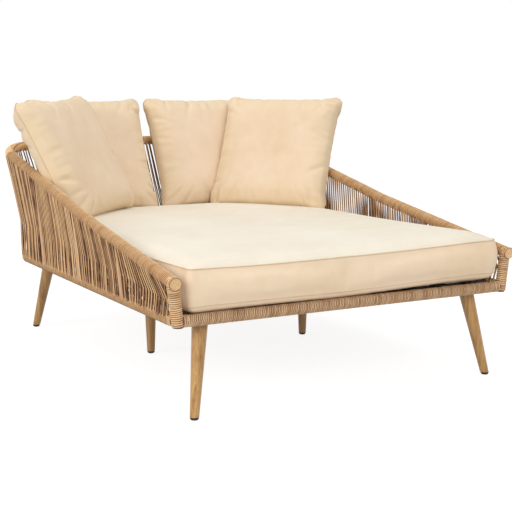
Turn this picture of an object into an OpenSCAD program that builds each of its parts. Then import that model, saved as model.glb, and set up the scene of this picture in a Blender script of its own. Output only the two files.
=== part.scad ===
/* [Bottom ring] */
// Half width of the bottom ring, centre of the tubes
ring_half_w = 608; // [540:1:680]
// Half depth of the bottom ring, centre of the tubes
ring_half_d = 741; // [660:1:820]
// Height of the bottom ring, centre of the tubes
ring_z = 304; // [290:1:330]
// Bend radius of the two back corners of the ring
ring_corner_r = 80; // [60:1:110]

/* [Tubes] */
// Outer radius of the main tubes
tube_r = 15; // [12:0.5:18]
// Wall of the main tubes
tube_wall = 2; // [1.5:0.1:3]
// Thickness of the wound strands on a tube
wind_t = 3.3; // [2.5:0.1:4]
// Radius of the upright ribs
rib_r = 9; // [7:0.5:10]
// Radius of the thin middle rail
mid_r = 6; // [4:0.5:7]
// Clearance between pieces that are fixed together
fix_gap = 0.2; // [0.1:0.05:0.3]

/* [Top rail] */
// How far the top rail stands outside the ring at the sides
top_out = 14; // [0:1:40]
// Rise of the front ends of the top rail above the ring
top_front_up = 118; // [100:1:140]
// Depth position of the slight bend in each arm
top_bend_y = -20; // [-60:1:0]
// Slope of the front half of each arm in degrees
arm_slope = 9.1; // [6:0.1:12]
// Slope of the rear half of the arms and of the back in degrees
back_slope = 11.4; // [8:0.1:14]
// How far the back corners stand behind the ring, before rounding
top_back_out = 174; // [130:1:220]
// How far the back bows out at its middle
top_bow = 55; // [30:1:80]
// Bend radius of the top back corners
top_corner_r = 150; // [120:1:190]
// Radius of the woven end discs
disc_r = 20; // [18.5:0.5:22]
// Thickness of the woven end discs
disc_t = 5; // [3:0.5:8]

/* [Middle rail] */
// Rise of the middle rail above the ring at the front posts
mid_front_up = 60; // [50:1:75]
// Slope of the middle rail in degrees
mid_slope = 3.3; // [2:0.1:5]
// How far the middle rail stands outside the ring at the sides
mid_out = 8; // [6:0.5:12]
// How far the middle rail stands behind the ring at the back
mid_back_out = 81; // [65:1:95]
// Bend radius of the back corners of the middle rail
mid_corner_r = 172; // [140:1:190]

/* [Ribs] */
// Depth position of the middle rib at the ring
rib_mid_y = 27; // [0:1:60]
// Spacing of the side ribs along the ring
rib_pitch = 385; // [340:1:400]
// Backward shift of the middle rib from ring to top
rib_lean = 40; // [20:1:60]
// Growth of the backward shift from rib to rib
rib_lean_step = 12; // [0:1:20]
// How far the feet of the ribs stand outside the tube centres
rib_out = 10; // [8:0.5:12]
// Sideways position of the two back ribs
rib_back_x = 203; // [160:1:260]

/* [Weave] */
// Thickness of one layer of upright strands
weave_t = 3; // [2:0.1:3.4]
// Gap between the layers and the middle rail
weave_clear = 2; // [1.8:0.1:2.5]
// How far a layer stops short of the rail centre lines
weave_stop = 11.6; // [11:0.1:14]

/* [Deck] */
// Width of the cross tubes
cross_w = 60; // [50:1:80]
// Height of the cross tubes
cross_h = 25; // [20:1:30]
// How far the cross tubes rise above the centre of the ring
cross_up = 9; // [0:1:12]
// Distance of the front cross tube from the front of the ring
cross_front_in = 59; // [50:1:100]
// Depth position of the middle cross tube
cross_mid_y = 99; // [60:1:140]
// Distance of the back cross tube from the back of the ring
cross_back_in = 46; // [45:1:90]
// Number of slats
slat_count = 9; // [7:1:12]
// Distance of the outer slats from the wound ring
slat_side_in = 39; // [6:1:80]
// Width of a slat
slat_w = 45; // [30:1:70]
// Thickness of a slat
slat_t = 6; // [4:0.5:8]
// Distance of the slat ends from the wound ring
slat_end = 6; // [5:0.5:12]

/* [Legs] */
// Distance of the front and back legs from the ring at the top
leg_in = 102; // [80:1:140]
// Sideways splay of the front and back legs
leg_splay_x = 48; // [20:1:70]
// Depth splay of the front and back legs
leg_splay_y = 56; // [20:1:70]
// Distance of the middle legs from the ring
leg_mid_in = 281; // [230:1:330]
// Radius of a leg at the top
leg_r_top = 25; // [20:0.5:28]
// Radius of a leg at the foot
leg_r_foot = 14; // [11:0.5:18]
// Side of the square mounting plate
plate_w = 58; // [54:1:60]
// Thickness of the mounting plate
plate_t = 4; // [3:0.5:6]
// Radius of the threaded stud in a leg
stud_r = 5; // [4:0.5:6]
// Length of the stud below the plate
stud_len = 38; // [25:1:60]
// Spacing of the plate screws
screw_pitch = 44; // [43:0.5:46]
// Radius of the plate screws
screw_r = 2.5; // [2:0.25:3]
// Height of a foot cap
foot_h = 9; // [6:0.5:14]

/* [Seat cushion] */
// Gap between the seat cushion and the wound side rails
seat_side_gap = 14.5; // [8:0.5:80]
// How far the seat cushion reaches past the front of the ring
seat_front_over = 9; // [-40:1:15]
// How far the seat cushion stops short of the back of the ring
seat_back_in = 8; // [6:1:80]
// Corner radius of the seat cushion
seat_corner_r = 55; // [30:1:90]
// Height of the lower seam above the underside
seat_under_h = 19.5; // [15:0.5:25]
// Height of the sides between the two seams
seat_side_h = 113; // [90:1:130]
// How far the sides swell between the seams
seat_side_swell = 5; // [0:0.5:7]
// Rise of the top from the seam to the middle
seat_crown = 26; // [10:1:30]

/* [Pillows] */
// Width and height of a pillow
pillow_size = 500; // [450:1:520]
// Thickness of a pillow
pillow_t = 128; // [100:1:140]
// How far the sides of a pillow draw in
pillow_draw = 14; // [5:1:30]
// Thickness of a pillow at its seam
pillow_edge_t = 8; // [5:0.5:12]
// Gap between the seat cushion and the pillows
pillow_gap = 0.3; // [0.3:0.1:1]
// Distance of the front left pillow from the side of the top rail
side_pillow_in = 265; // [250:1:280]
// Distance of the two front pillows from the back corners of the top rail
side_pillow_back = 438; // [425:1:465]
// Turn of the front left pillow in degrees
left_yaw = 40.7; // [35:0.1:45]
// Turn of the front right pillow in degrees
right_yaw = 53.7; // [50:0.1:58]
// Lean of the front left pillow in degrees
left_lean = 27; // [24:0.5:30]
// Lean of the front right pillow in degrees
right_lean = 26; // [24:0.5:30]
// Distance of the back left pillow from the middle
back_left_gap = 12; // [5:1:20]
// Distance of the back right pillow from the middle
back_right_gap = 5; // [2:1:12]
// Distance of the two back pillows from the back corners of the top rail
back_pillow_in = 193; // [187:1:215]
// Lean of the two back pillows in degrees
back_lean = 25; // [23:0.5:28]

/* [Hidden] */
$fn = 64;
wind_r = tube_r + wind_t + fix_gap;
wind_in = tube_r + fix_gap;
rib_top_out = tube_r - rib_r - 0.5;
big = 3000;
top_half_w = ring_half_w + top_out;
top_front_z = ring_z + top_front_up;
top_back_y = ring_half_d + top_back_out;
mid_front_z = ring_z + mid_front_up;
mid_back_y = ring_half_d + mid_back_out;
cross_top_z = ring_z + cross_up;
cross_front_y = ring_half_d - cross_front_in;
cross_back_y = ring_half_d - cross_back_in;
leg_top_x = ring_half_w - leg_in;
leg_mid_x = ring_half_w - leg_mid_in;
slat_pitch = (2 * (ring_half_w - wind_r - slat_side_in) - slat_w) / (slat_count - 1);
seat_half_w = ring_half_w - wind_r - seat_side_gap;
seat_front_y = ring_half_d + seat_front_over;
seat_back_y = ring_half_d - seat_back_in;
side_pillow_x = top_half_w - side_pillow_in;
side_pillow_y = top_back_y - side_pillow_back;
back_left_x = pillow_size / 2 + back_left_gap;
back_right_x = pillow_size / 2 + back_right_gap;
back_pillow_y = top_back_y - back_pillow_in;
post_x = ring_half_w;
post_foot_z = ring_z - wind_r;
arm_tan = tan(arm_slope);
back_tan = tan(back_slope);
mid_tan = tan(mid_slope);
bend_z = top_front_z + (top_bend_y + ring_half_d) * arm_tan;
plane_v = (top_back_y - top_bend_y) / cos(back_slope);
corner_gap = fix_gap / top_corner_r * 180 / PI;
bow_r = (pow(top_half_w, 2) + pow(top_bow, 2)) / (2 * top_bow);
bow_v = plane_v + top_bow - bow_r;
corner_x = top_half_w - top_corner_r;
corner_v = bow_v + sqrt(pow(bow_r - top_corner_r, 2) - pow(corner_x, 2));
corner_turn = 90 - asin(corner_x / (bow_r - top_corner_r));
arm_end_y = top_bend_y + corner_v * cos(back_slope);
arm_front_y = -ring_half_d - wind_r;
arm_front_z = top_front_z + (arm_front_y + ring_half_d) * arm_tan;
disc_bevel = 0.9;
front_reach = -arm_front_y + (fix_gap + disc_t) * cos(arm_slope) + disc_bevel * disc_r * sin(arm_slope);
back_reach = top_back_y + top_bow * cos(back_slope) + wind_r + fix_gap;
centre_y = (back_reach - front_reach) / 2;
mid_half_w = ring_half_w + mid_out;
mid_turn_y = mid_back_y - mid_corner_r;
plate_z = cross_top_z - cross_h;
leg_top_z = plate_z - plate_t - fix_gap;
slat_z = cross_top_z + fix_gap;
rest_gap = 0.3;
seat_z = slat_z + slat_t + rest_gap;
seat_seam_low_z = seat_z + seat_under_h;
seat_seam_top_z = seat_seam_low_z + seat_side_h;
crown_reach = 400;
under_reach = 110;
leg_spare = 20;
screw_head_t = 2.6;
screw_head_lip = 2;
screw_tip = 5;
rib_clear = 1.2;
post_clear = 0.8;
corner_clear = 1;
mid_corner_reach = 20;
foot_y_front = -cross_front_y - leg_splay_y;
foot_y_back = cross_back_y + leg_splay_y;
weave_far = wind_r - rest_gap;
weave_near = weave_far - weave_t;
weave_mid_near = mid_r + weave_clear;
weave_mid_far = weave_mid_near + weave_t;
tan_tube = [0.55, 0.52, 0.48];
tan_wicker = [0.74, 0.55, 0.38];
tan_rib = [0.80, 0.66, 0.50];
tan_leg = [0.75, 0.57, 0.34];
cream = [0.95, 0.91, 0.82];
pillow_tan = [0.92, 0.83, 0.70];
steel = [0.62, 0.62, 0.63];
black = [0.08, 0.08, 0.08];

function arm_z(y) = y < top_bend_y
  ? top_front_z + (y + ring_half_d) * arm_tan
  : bend_z + (y - top_bend_y) * back_tan;
function mid_z(y) = mid_front_z + (y + ring_half_d) * mid_tan;
function mix(a, b, t) = a + (b - a) * t;
function rib_y(k) = rib_mid_y + k * rib_pitch;
function rib_top_y(k) = rib_y(k) + rib_lean + k * rib_lean_step;

// every piece is set so that the middle of the whole outline is at the origin
module placed() {
  translate([0, -centre_y, 0])
    children();
}

module tube(p, q, r) {
  d = q - p;
  len = norm(d);
  translate(p)
    rotate([0, acos(d[2] / len), atan2(d[1], d[0])])
      cylinder(h = len, r = r);
}

module pipe(p, q, r, ri) {
  d = q - p;
  len = norm(d);
  translate(p)
    rotate([0, acos(d[2] / len), atan2(d[1], d[0])])
      difference() {
        cylinder(h = len, r = r);
        translate([0, 0, -1])
          cylinder(h = len + 2, r = ri);
      }
}

module bend(cr, turn, r, ri, from = 0) {
  rotate([0, 0, from])
    rotate_extrude(angle = turn, $fn = 180)
      translate([cr, 0])
        difference() {
          circle(r = r, $fn = 64);
          circle(r = ri, $fn = 64);
        }
}

module full_bend(cr, turn, r, from = 0) {
  rotate([0, 0, from])
    rotate_extrude(angle = turn, $fn = 180)
      translate([cr, 0])
        circle(r = r, $fn = 64);
}

// posts
post_dir = [top_half_w - post_x, 0, top_front_z - ring_z];
post_base = [post_x, -ring_half_d, ring_z] - post_dir * (wind_r / (top_front_z - ring_z));
post_head = [top_half_w, -ring_half_d, top_front_z];
post_spare = 0.2;

module post_core(r, more = 0) {
  tube(post_base - post_dir * (post_spare + more), post_head + post_dir * more, r);
}

module below_post_cut() {
  translate([0, 0, post_foot_z - big / 2])
    cube([big, big, big], center = true);
}

// arms of the top rail: two straight runs with a slight bend between
module arm_front_solid(r) {
  y = arm_front_y - 2 * disc_r;
  tube([top_half_w, y, arm_z(y)], [top_half_w, top_bend_y, bend_z], r);
}

module arm_rear_solid(r) {
  tube([top_half_w, top_bend_y, bend_z], [top_half_w, arm_end_y, arm_z(arm_end_y)], r);
}

// half space past the mitre of the bend, towards the back or the front
module past_bend(way) {
  translate([0, top_bend_y, bend_z])
    rotate([(arm_slope + back_slope) / 2, 0, 0])
      translate([0, way * (big - fix_gap) / 2, 0])
        cube([big, big, big], center = true);
}

module arm_pipe(side, r, ri) {
  x = side * top_half_w;
  y1 = top_bend_y + tube_r;
  y2 = top_bend_y - tube_r;
  difference() {
    pipe([x, arm_front_y, arm_front_z], [x, y1, bend_z + tube_r * arm_tan], r, ri);
    past_bend(1);
  }
  difference() {
    pipe([x, y2, bend_z - tube_r * back_tan], [x, arm_end_y, arm_z(arm_end_y)], r, ri);
    past_bend(-1);
  }
}

// rear part of the top rail, drawn flat and tilted
module in_back_plane() {
  translate([0, top_bend_y, bend_z])
    rotate([back_slope, 0, 0])
      children();
}

module back_pipe(r, ri) {
  in_back_plane() {
    translate([0, bow_v, 0])
      bend(bow_r, 2 * (90 - corner_turn), r, ri, corner_turn);
    for (m = [0, 1])
      mirror([m, 0, 0])
        translate([corner_x, corner_v, 0])
          bend(top_corner_r, corner_turn - corner_gap, r, ri, 0);
  }
}

module bow_solid(r) {
  in_back_plane()
    translate([0, bow_v, 0])
      full_bend(bow_r, 2 * (90 - corner_turn), r, corner_turn);
}

// one side rib, right side, k counts from the middle rib
module rib_core(k, r) {
  p = [ring_half_w + rib_out, rib_y(k), ring_z];
  q = [top_half_w + rib_top_out, rib_top_y(k), arm_z(rib_top_y(k))];
  tube(p, q, r);
}

function back_x_y(x) = bow_v + sqrt(pow(bow_r, 2) - pow(x, 2));
function back_pt(x, v) = [
  x,
  top_bend_y + v * cos(back_slope),
  bend_z + v * sin(back_slope)
];

module back_rib_core(r) {
  p = [rib_back_x, ring_half_d + rib_out, ring_z];
  q = back_pt(rib_back_x, back_x_y(rib_back_x)) + [0, rib_top_out, 0];
  tube(p, q, r);
}

module ring_side_solid(r) {
  tube([ring_half_w, -ring_half_d, ring_z], [ring_half_w, ring_half_d - ring_corner_r, ring_z], r);
}

module ring_front_solid(r) {
  tube([-ring_half_w, -ring_half_d, ring_z], [ring_half_w, -ring_half_d, ring_z], r);
}

module ring_back_straight(r) {
  tube([-ring_half_w + ring_corner_r, ring_half_d, ring_z],
       [ring_half_w - ring_corner_r, ring_half_d, ring_z], r);
}

module ring_back_pipe(r, ri) {
  pipe([-ring_half_w + ring_corner_r, ring_half_d, ring_z],
       [ring_half_w - ring_corner_r, ring_half_d, ring_z], r, ri);
  for (m = [0, 1])
    mirror([m, 0, 0])
      translate([ring_half_w - ring_corner_r, ring_half_d - ring_corner_r, ring_z])
        bend(ring_corner_r, 90, r, ri);
}

module mid_side_solid(r) {
  tube([mid_half_w, -ring_half_d, mid_z(-ring_half_d)],
       [mid_half_w, mid_turn_y, mid_z(mid_turn_y)], r);
}

module in_mid_plane() {
  translate([0, mid_turn_y, mid_z(mid_turn_y)])
    rotate([mid_slope, 0, 0])
      children();
}

module mid_back_straight(r) {
  in_mid_plane()
    tube([-mid_half_w + mid_corner_r, mid_corner_r, 0],
         [mid_half_w - mid_corner_r, mid_corner_r, 0], r);
}

module mid_back_solid(r) {
  mid_back_straight(r);
  in_mid_plane() {
    for (m = [0, 1])
      mirror([m, 0, 0])
        translate([mid_half_w - mid_corner_r, 0, 0])
          full_bend(mid_corner_r, 90, r);
  }
}

module ring_corner_solid(r) {
  translate([ring_half_w - ring_corner_r, ring_half_d - ring_corner_r + fix_gap, ring_z])
    full_bend(ring_corner_r, 90, r);
}

module cross_box(y, grow) {
  w = cross_w + 2 * grow;
  h = cross_h + 2 * grow;
  translate([0, y, cross_top_z - cross_h / 2])
    cube([2 * ring_half_w, w, h], center = true);
}

module cross_cuts(grow) {
  for (y = [-cross_front_y, cross_mid_y, cross_back_y])
    cross_box(y, grow);
}

module cross_bar(y) {
  difference() {
    cross_box(y, 0);
    translate([0, y, cross_top_z - cross_h / 2])
      cube([2 * ring_half_w + 2, cross_w - 2 * tube_wall, cross_h - 2 * tube_wall], center = true);
    for (m = [0, 1])
      mirror([m, 0, 0]) {
        ring_side_solid(tube_r + fix_gap);
        if (y > ring_half_d - ring_corner_r - cross_w)
          ring_corner_solid(tube_r + fix_gap);
      }
  }
}

// legs
function leg_top(i) = i == 0 ? [leg_top_x, -cross_front_y, leg_top_z]
  : i == 1 ? [leg_mid_x, cross_mid_y, leg_top_z]
  : [leg_top_x, cross_back_y, leg_top_z];
function leg_foot(i) = i == 0 ? [leg_top_x + leg_splay_x, foot_y_front, 0]
  : i == 1 ? [leg_mid_x, cross_mid_y, 0]
  : [leg_top_x + leg_splay_x, foot_y_back, 0];

// turns upright pieces onto the leaning line of a leg, from its top
module along_leg(i) {
  d = leg_top(i) - leg_foot(i);
  translate(leg_top(i))
    rotate([-asin(d[1] / norm(d)), atan2(d[0], d[2]), 0])
      children();
}

module stud(i, r, more = 0) {
  along_leg(i)
    translate([0, 0, -stud_len - more])
      cylinder(h = stud_len + plate_t / 2 + 2 * more, r = r);
}

module leg(i) {
  len = norm(leg_top(i) - leg_foot(i));
  grow = (leg_r_top - leg_r_foot) / len;
  difference() {
    along_leg(i)
      translate([0, 0, -len - leg_spare])
        cylinder(h = len + 2 * leg_spare, r1 = leg_r_foot - leg_spare * grow,
                 r2 = leg_r_top + leg_spare * grow);
    translate([0, 0, leg_top_z + big / 2])
      cube([big, big, big], center = true);
    translate([0, 0, foot_h + fix_gap - big / 2])
      cube([big, big, big], center = true);
    stud(i, stud_r + fix_gap, stud_r / 2);
  }
}

module foot(i) {
  b = leg_foot(i);
  a = leg_top(i);
  s = foot_h / 2 / (a[2] - b[2]);
  translate([mix(b[0], a[0], s), mix(b[1], a[1], s), 0])
    rotate_extrude()
      polygon([
        [0, 0], [leg_r_foot * 0.55, 0], [leg_r_foot * 0.8, foot_h * 0.15],
        [leg_r_foot * 0.95, foot_h * 0.5], [leg_r_foot, foot_h], [0, foot_h]
      ]);
}

module screw_spots(i) {
  a = leg_top(i);
  for (sx = [-1, 1])
    for (sy = [-1, 1])
      translate([a[0] + sx * screw_pitch / 2, a[1] + sy * screw_pitch / 2, plate_z])
        children();
}

module plate(i) {
  a = leg_top(i);
  difference() {
    union() {
      translate([a[0], a[1], plate_z - fix_gap / 2 - plate_t / 2])
        cube([plate_w, plate_w, plate_t], center = true);
      stud(i, stud_r);
    }
    screw_spots(i)
      cylinder(h = 4 * plate_t, r = screw_r + fix_gap, center = true);
  }
}

module screw(i) {
  under_plate = -fix_gap / 2 - plate_t - fix_gap;
  screw_spots(i) {
    translate([0, 0, under_plate - screw_head_t])
      cylinder(h = screw_head_t, r = screw_r + screw_head_lip);
    translate([0, 0, under_plate - screw_head_t / 2])
      cylinder(h = screw_head_t / 2 + plate_t + tube_wall + screw_tip, r = screw_r);
  }
}

// strips of upright strands: a station is [bottom, middle, top] with an outward direction
function at(p, n, o, dz) = [p[0] + n[0] * o, p[1] + n[1] * o, p[2] + dz];
function outer_profile(s) = [
  at(s[0], s[3], weave_far, weave_stop),
  at(s[1], s[3], weave_mid_far, 0),
  at(s[2], s[4], weave_far, -weave_stop),
  at(s[2], s[4], weave_near, -weave_stop),
  at(s[1], s[3], weave_mid_near, 0),
  at(s[0], s[3], weave_near, weave_stop)
];
function inner_profile(s) = [
  at(s[0], s[3], -weave_near, weave_stop),
  at(s[1], s[3], -weave_mid_near, 0),
  at(s[2], s[4], -weave_near, -weave_stop),
  at(s[2], s[4], -weave_far, -weave_stop),
  at(s[1], s[3], -weave_mid_far, 0),
  at(s[0], s[3], -weave_far, weave_stop)
];

module strip(profiles) {
  n = len(profiles);
  pts = [for (p = profiles) for (q = p) q];
  wall = [
    for (i = [0 : n - 2]) for (j = [0 : 5])
      for (f = [0, 1])
        f == 0
          ? [i * 6 + j, i * 6 + (j + 1) % 6, (i + 1) * 6 + (j + 1) % 6]
          : [i * 6 + j, (i + 1) * 6 + (j + 1) % 6, (i + 1) * 6 + j]
  ];
  e = (n - 1) * 6;
  caps = [
    [0, 5, 4], [0, 4, 1], [1, 4, 3], [1, 3, 2],
    [e + 0, e + 4, e + 5], [e + 0, e + 1, e + 4], [e + 1, e + 3, e + 4], [e + 1, e + 2, e + 3]
  ];
  polyhedron(points = pts, faces = concat(wall, caps));
}

// a station on the right side at the depths yb on the ring, ym and yt on the rails
function side_station(yb, ym, yt) = [
  [ring_half_w, yb, ring_z],
  ym > mid_turn_y ? mid_corner(asin((ym - mid_turn_y) / mid_corner_r)) : [mid_half_w, ym, mid_z(ym)],
  [top_half_w, yt, arm_z(yt)],
  [1, 0],
  [1, 0]
];
rib_half = rib_r + rib_clear;
side_start = -ring_half_d + wind_r + post_clear;
side_end = ring_half_d - ring_corner_r - corner_clear;
side_end_mid = mid_turn_y + mid_corner_reach;
side_end_top = arm_end_y - corner_clear;
function rib_mid_y_at(k) =
  let (share = (mid_z(rib_y(k)) - ring_z) / (arm_z(rib_y(k)) - ring_z))
  mix(rib_y(k), rib_top_y(k), share);
function rib_edge(k, s) = side_station(
  rib_y(k) + s * rib_half,
  rib_mid_y_at(k) + s * rib_half,
  rib_top_y(k) + s * rib_half
);
front_edge = side_station(side_start, side_start, side_start);
back_edge = side_station(side_end, side_end_mid, side_end_top);
function between(k, t, ym, yt) = side_station(mix(rib_y(k), rib_y(k + 1), t), ym, yt);
bend_share = (top_bend_y - rib_top_y(-1)) / (rib_top_y(0) - rib_top_y(-1));
turn_share = (mid_turn_y - rib_mid_y_at(1)) / (side_end_mid - rib_mid_y_at(1));
bays = [
  [front_edge, rib_edge(-1, -1)],
  [
    rib_edge(-1, 1),
    between(-1, bend_share, mix(rib_mid_y_at(-1), rib_mid_y_at(0), bend_share), top_bend_y),
    rib_edge(0, -1)
  ],
  [rib_edge(0, 1), rib_edge(1, -1)],
  [
    rib_edge(1, 1),
    side_station(mix(rib_y(1), side_end, turn_share), mid_turn_y,
                 mix(rib_top_y(1), side_end_top, turn_share)),
    back_edge
  ]
];

// stations round the back: t runs from 0 to 1 over the right corner
side_turn = asin((side_end_mid - mid_turn_y) / mid_corner_r);
function mid_corner(a) = [
  mid_half_w - mid_corner_r + mid_corner_r * cos(a),
  mid_turn_y + mid_corner_r * sin(a),
  mid_z(mid_turn_y + mid_corner_r * sin(a))
];
function corner_station(t) = [
  [ring_half_w - ring_corner_r + ring_corner_r * cos(90 * t),
   ring_half_d - ring_corner_r + ring_corner_r * sin(90 * t), ring_z],
  mid_corner(mix(side_turn, 90, t)),
  back_pt(corner_x + top_corner_r * cos(corner_turn * t),
          corner_v + top_corner_r * sin(corner_turn * t)),
  [cos(90 * t), sin(90 * t)],
  [cos(corner_turn * t), sin(corner_turn * t)]
];
corner_end_x = bow_r * cos(corner_turn);
back_end_x = ring_half_w - ring_corner_r;
function back_station(xb, xm, xt) = [
  [xb, ring_half_d, ring_z],
  [xm, mid_back_y, mid_z(mid_back_y)],
  back_pt(xt, back_x_y(xt)),
  [0, 1],
  [xt / bow_r, (back_x_y(xt) - bow_v) / bow_r]
];
corner_first = 0.02;
corner_steps = 9;
rib_side_x = rib_back_x + rib_half;
rib_inner_x = rib_back_x - rib_half;
function back_side_stations() = concat(
  [for (i = [0 : corner_steps]) corner_station(mix(corner_first, 1, i / corner_steps))],
  [
    for (t = [1 / 3, 2 / 3, 1])
      back_station(
        mix(back_end_x, rib_side_x, t),
        mix(mid_half_w - mid_corner_r, rib_side_x, t),
        mix(corner_end_x, rib_side_x, t)
      )
  ]
);
function back_mid_stations() = [for (x = [1, 0.5, 0, -0.5, -1] * rib_inner_x) back_station(x, x, x)];

// seat cushion
seat_steps = 64;
corner_fade = 0.4;
seat_corner_least = 8;
function under_z(t) = mix(seat_z, seat_seam_low_z, t);
function side_z(t) = mix(seat_seam_low_z, seat_seam_top_z, t);
function crown_z(t) = seat_seam_top_z + seat_crown * t;
// share of the way in from the seam, share of the rise
crown_shares = [
  [0, 0], [0.0075, 0.13], [0.03, 0.3], [0.1, 0.55], [0.225, 0.74], [0.425, 0.87], [0.7, 0.966],
  [1, 1]
];
under_shares = [[1, 0], [0.45, 0.05], [0.13, 0.42], [0.02, 0.79]];
side_shares = [[0, 0], [-0.4, 0.04], [-1, 0.36], [-1, 0.63], [-0.4, 0.96]];
crown_rings = [for (r = crown_shares) [r[0] * crown_reach, r[1]]];
// each ring lies inside the seam outline by the first number, at the height of the second
seat_rings = concat(
  [for (r = under_shares) [r[0] * under_reach, under_z(r[1])]],
  [for (r = side_shares) [r[0] * seat_side_swell, side_z(r[1])]],
  [for (r = crown_rings) [r[0], crown_z(r[1])]]
);
function seat_angle(i) = 90 * floor(i / 16) + 90 * (i % 16) / 15;
function seat_ring(d, z) = [
  for (i = [0 : seat_steps - 1])
    let (
      r = max(seat_corner_r - d * corner_fade, seat_corner_least) + (d < 0 ? -d : 0),
      q = floor(i / 16),
      a = seat_angle(i),
      hw = seat_half_w - d,
      y1 = seat_back_y - d,
      y0 = -seat_front_y + d,
      cx = (q == 0 || q == 3) ? hw - r : -hw + r,
      cy = q < 2 ? y1 - r : y0 + r
    )
    [cx + r * cos(a), cy + r * sin(a), z]
];

module stacked(rings, m) {
  n = len(rings);
  pts = [for (ring = rings) for (p = ring) p];
  wall = [
    for (i = [0 : n - 2]) for (j = [0 : m - 1])
      for (f = [0, 1])
        f == 0
          ? [i * m + j, (i + 1) * m + (j + 1) % m, i * m + (j + 1) % m]
          : [i * m + j, (i + 1) * m + j, (i + 1) * m + (j + 1) % m]
  ];
  low = [for (j = [0 : m - 1]) j];
  top = [for (j = [0 : m - 1]) n * m - 1 - j];
  polyhedron(points = pts, faces = concat(wall, [low], [top]));
}

// a pillow stands on its lower edge at the origin, facing the front
pillow_n = 16;
function pil_half(u, v) = pillow_edge_t / 2
  + (pillow_t - pillow_edge_t) / 2 * pow(max(0, (1 - u * u) * (1 - v * v)), 0.62);
function pil_x(u, v) = (pillow_size / 2 - pillow_draw * (1 - v * v)) * u;
function pil_z(u, v) = (pillow_size / 2 - pillow_draw * (1 - u * u)) * v + pillow_size / 2;
function pil_u(i) = sin(90 * (2 * i / pillow_n - 1));

module pillow_shape() {
  m = pillow_n + 1;
  front = [
    for (j = [0 : pillow_n]) for (i = [0 : pillow_n])
      [pil_x(pil_u(i), pil_u(j)), -pil_half(pil_u(i), pil_u(j)), pil_z(pil_u(i), pil_u(j))]
  ];
  rear = [for (p = front) [p[0], -p[1], p[2]]];
  nf = m * m;
  faces_front = [
    for (j = [0 : pillow_n - 1]) for (i = [0 : pillow_n - 1]) for (f = [0, 1])
      f == 0
        ? [j * m + i, (j + 1) * m + i + 1, j * m + i + 1]
        : [j * m + i, (j + 1) * m + i, (j + 1) * m + i + 1]
  ];
  faces_rear = [for (t = faces_front) [t[0] + nf, t[2] + nf, t[1] + nf]];
  rim = concat(
    [for (i = [0 : pillow_n - 1]) i],
    [for (j = [0 : pillow_n - 1]) j * m + pillow_n],
    [for (i = [0 : pillow_n - 1]) pillow_n * m + pillow_n - i],
    [for (j = [0 : pillow_n - 1]) (pillow_n - j) * m]
  );
  k = len(rim);
  faces_rim = [
    for (i = [0 : k - 1]) for (f = [0, 1])
      f == 0
        ? [rim[i], rim[(i + 1) % k], rim[(i + 1) % k] + nf]
        : [rim[i], rim[(i + 1) % k] + nf, rim[i] + nf]
  ];
  polyhedron(points = concat(front, rear), faces = concat(faces_front, faces_rear, faces_rim));
}

// how far the top outer corner of a turned pillow lies from its middle
function pillow_reach(yaw, lean) = pillow_size / 2 * cos(yaw)
  + (pillow_size * sin(lean) + pillow_edge_t / 2 * cos(lean)) * sin(yaw);
function seat_inset(x, y) = min(seat_half_w - abs(x), seat_back_y - y, y + seat_front_y);
function seat_top_at(p) = crown_z(lookup(seat_inset(p[0], p[1]), crown_rings));
// lowest height at which no point near the lower edge of a pillow enters the seat cushion
function pillow_seat(x, y, yaw, lean) =
  max([
    for (j = [0 : pillow_n / 4]) for (i = [0 : pillow_n])
      let (
        px = pil_x(pil_u(i), pil_u(j)),
        py = pil_half(pil_u(i), pil_u(j)) * cos(lean) + pil_z(pil_u(i), pil_u(j)) * sin(lean),
        pz = pil_z(pil_u(i), pil_u(j)) * cos(lean) - pil_half(pil_u(i), pil_u(j)) * sin(lean)
      )
      seat_top_at([x + px * cos(yaw) - py * sin(yaw), y + px * sin(yaw) + py * cos(yaw)]) - pz
  ]);

module set_pillow(x, y, yaw, lean) {
  translate([x, y, pillow_seat(x, y, yaw, lean) + pillow_gap])
    rotate([0, 0, yaw])
      rotate([-lean, 0, 0])
        pillow_shape();
}

// the pieces
module ring_front_tube() {
  color(tan_tube)
    placed()
      difference() {
        pipe([-ring_half_w, -ring_half_d, ring_z], [ring_half_w, -ring_half_d, ring_z],
             tube_r, tube_r - tube_wall);
        for (m = [0, 1])
          mirror([m, 0, 0])
            post_core(tube_r + fix_gap);
      }
}

module ring_side_tube() {
  difference() {
    pipe([ring_half_w, -ring_half_d, ring_z], [ring_half_w, ring_half_d - ring_corner_r, ring_z],
         tube_r, tube_r - tube_wall);
    post_core(tube_r + fix_gap);
    ring_front_solid(tube_r + fix_gap);
  }
}

module ring_right_tube() {
  color(tan_tube)
    placed()
      ring_side_tube();
}

module ring_left_tube() {
  color(tan_tube)
    placed()
      mirror([1, 0, 0])
        ring_side_tube();
}

module ring_back_tube() {
  color(tan_tube)
    placed()
      translate([0, fix_gap, 0])
        ring_back_pipe(tube_r, tube_r - tube_wall);
}

module post_one() {
  difference() {
    post_core(tube_r);
    post_core(tube_r - tube_wall, 0.1);
    below_post_cut();
    arm_front_solid(tube_r + fix_gap);
  }
}

module post_right() {
  color(tan_tube)
    placed()
      post_one();
}

module post_left() {
  color(tan_tube)
    placed()
      mirror([1, 0, 0])
        post_one();
}

module top_right_tube() {
  color(tan_tube)
    placed()
      arm_pipe(1, tube_r, tube_r - tube_wall);
}

module top_left_tube() {
  color(tan_tube)
    placed()
      arm_pipe(-1, tube_r, tube_r - tube_wall);
}

module top_back_tube() {
  color(tan_tube)
    placed()
      translate([0, fix_gap, 0])
        back_pipe(tube_r, tube_r - tube_wall);
}

module mid_side() {
  difference() {
    mid_side_solid(mid_r);
    post_core(wind_r + fix_gap);
  }
}

module mid_right_tube() {
  color(tan_tube)
    placed()
      mid_side();
}

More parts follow.
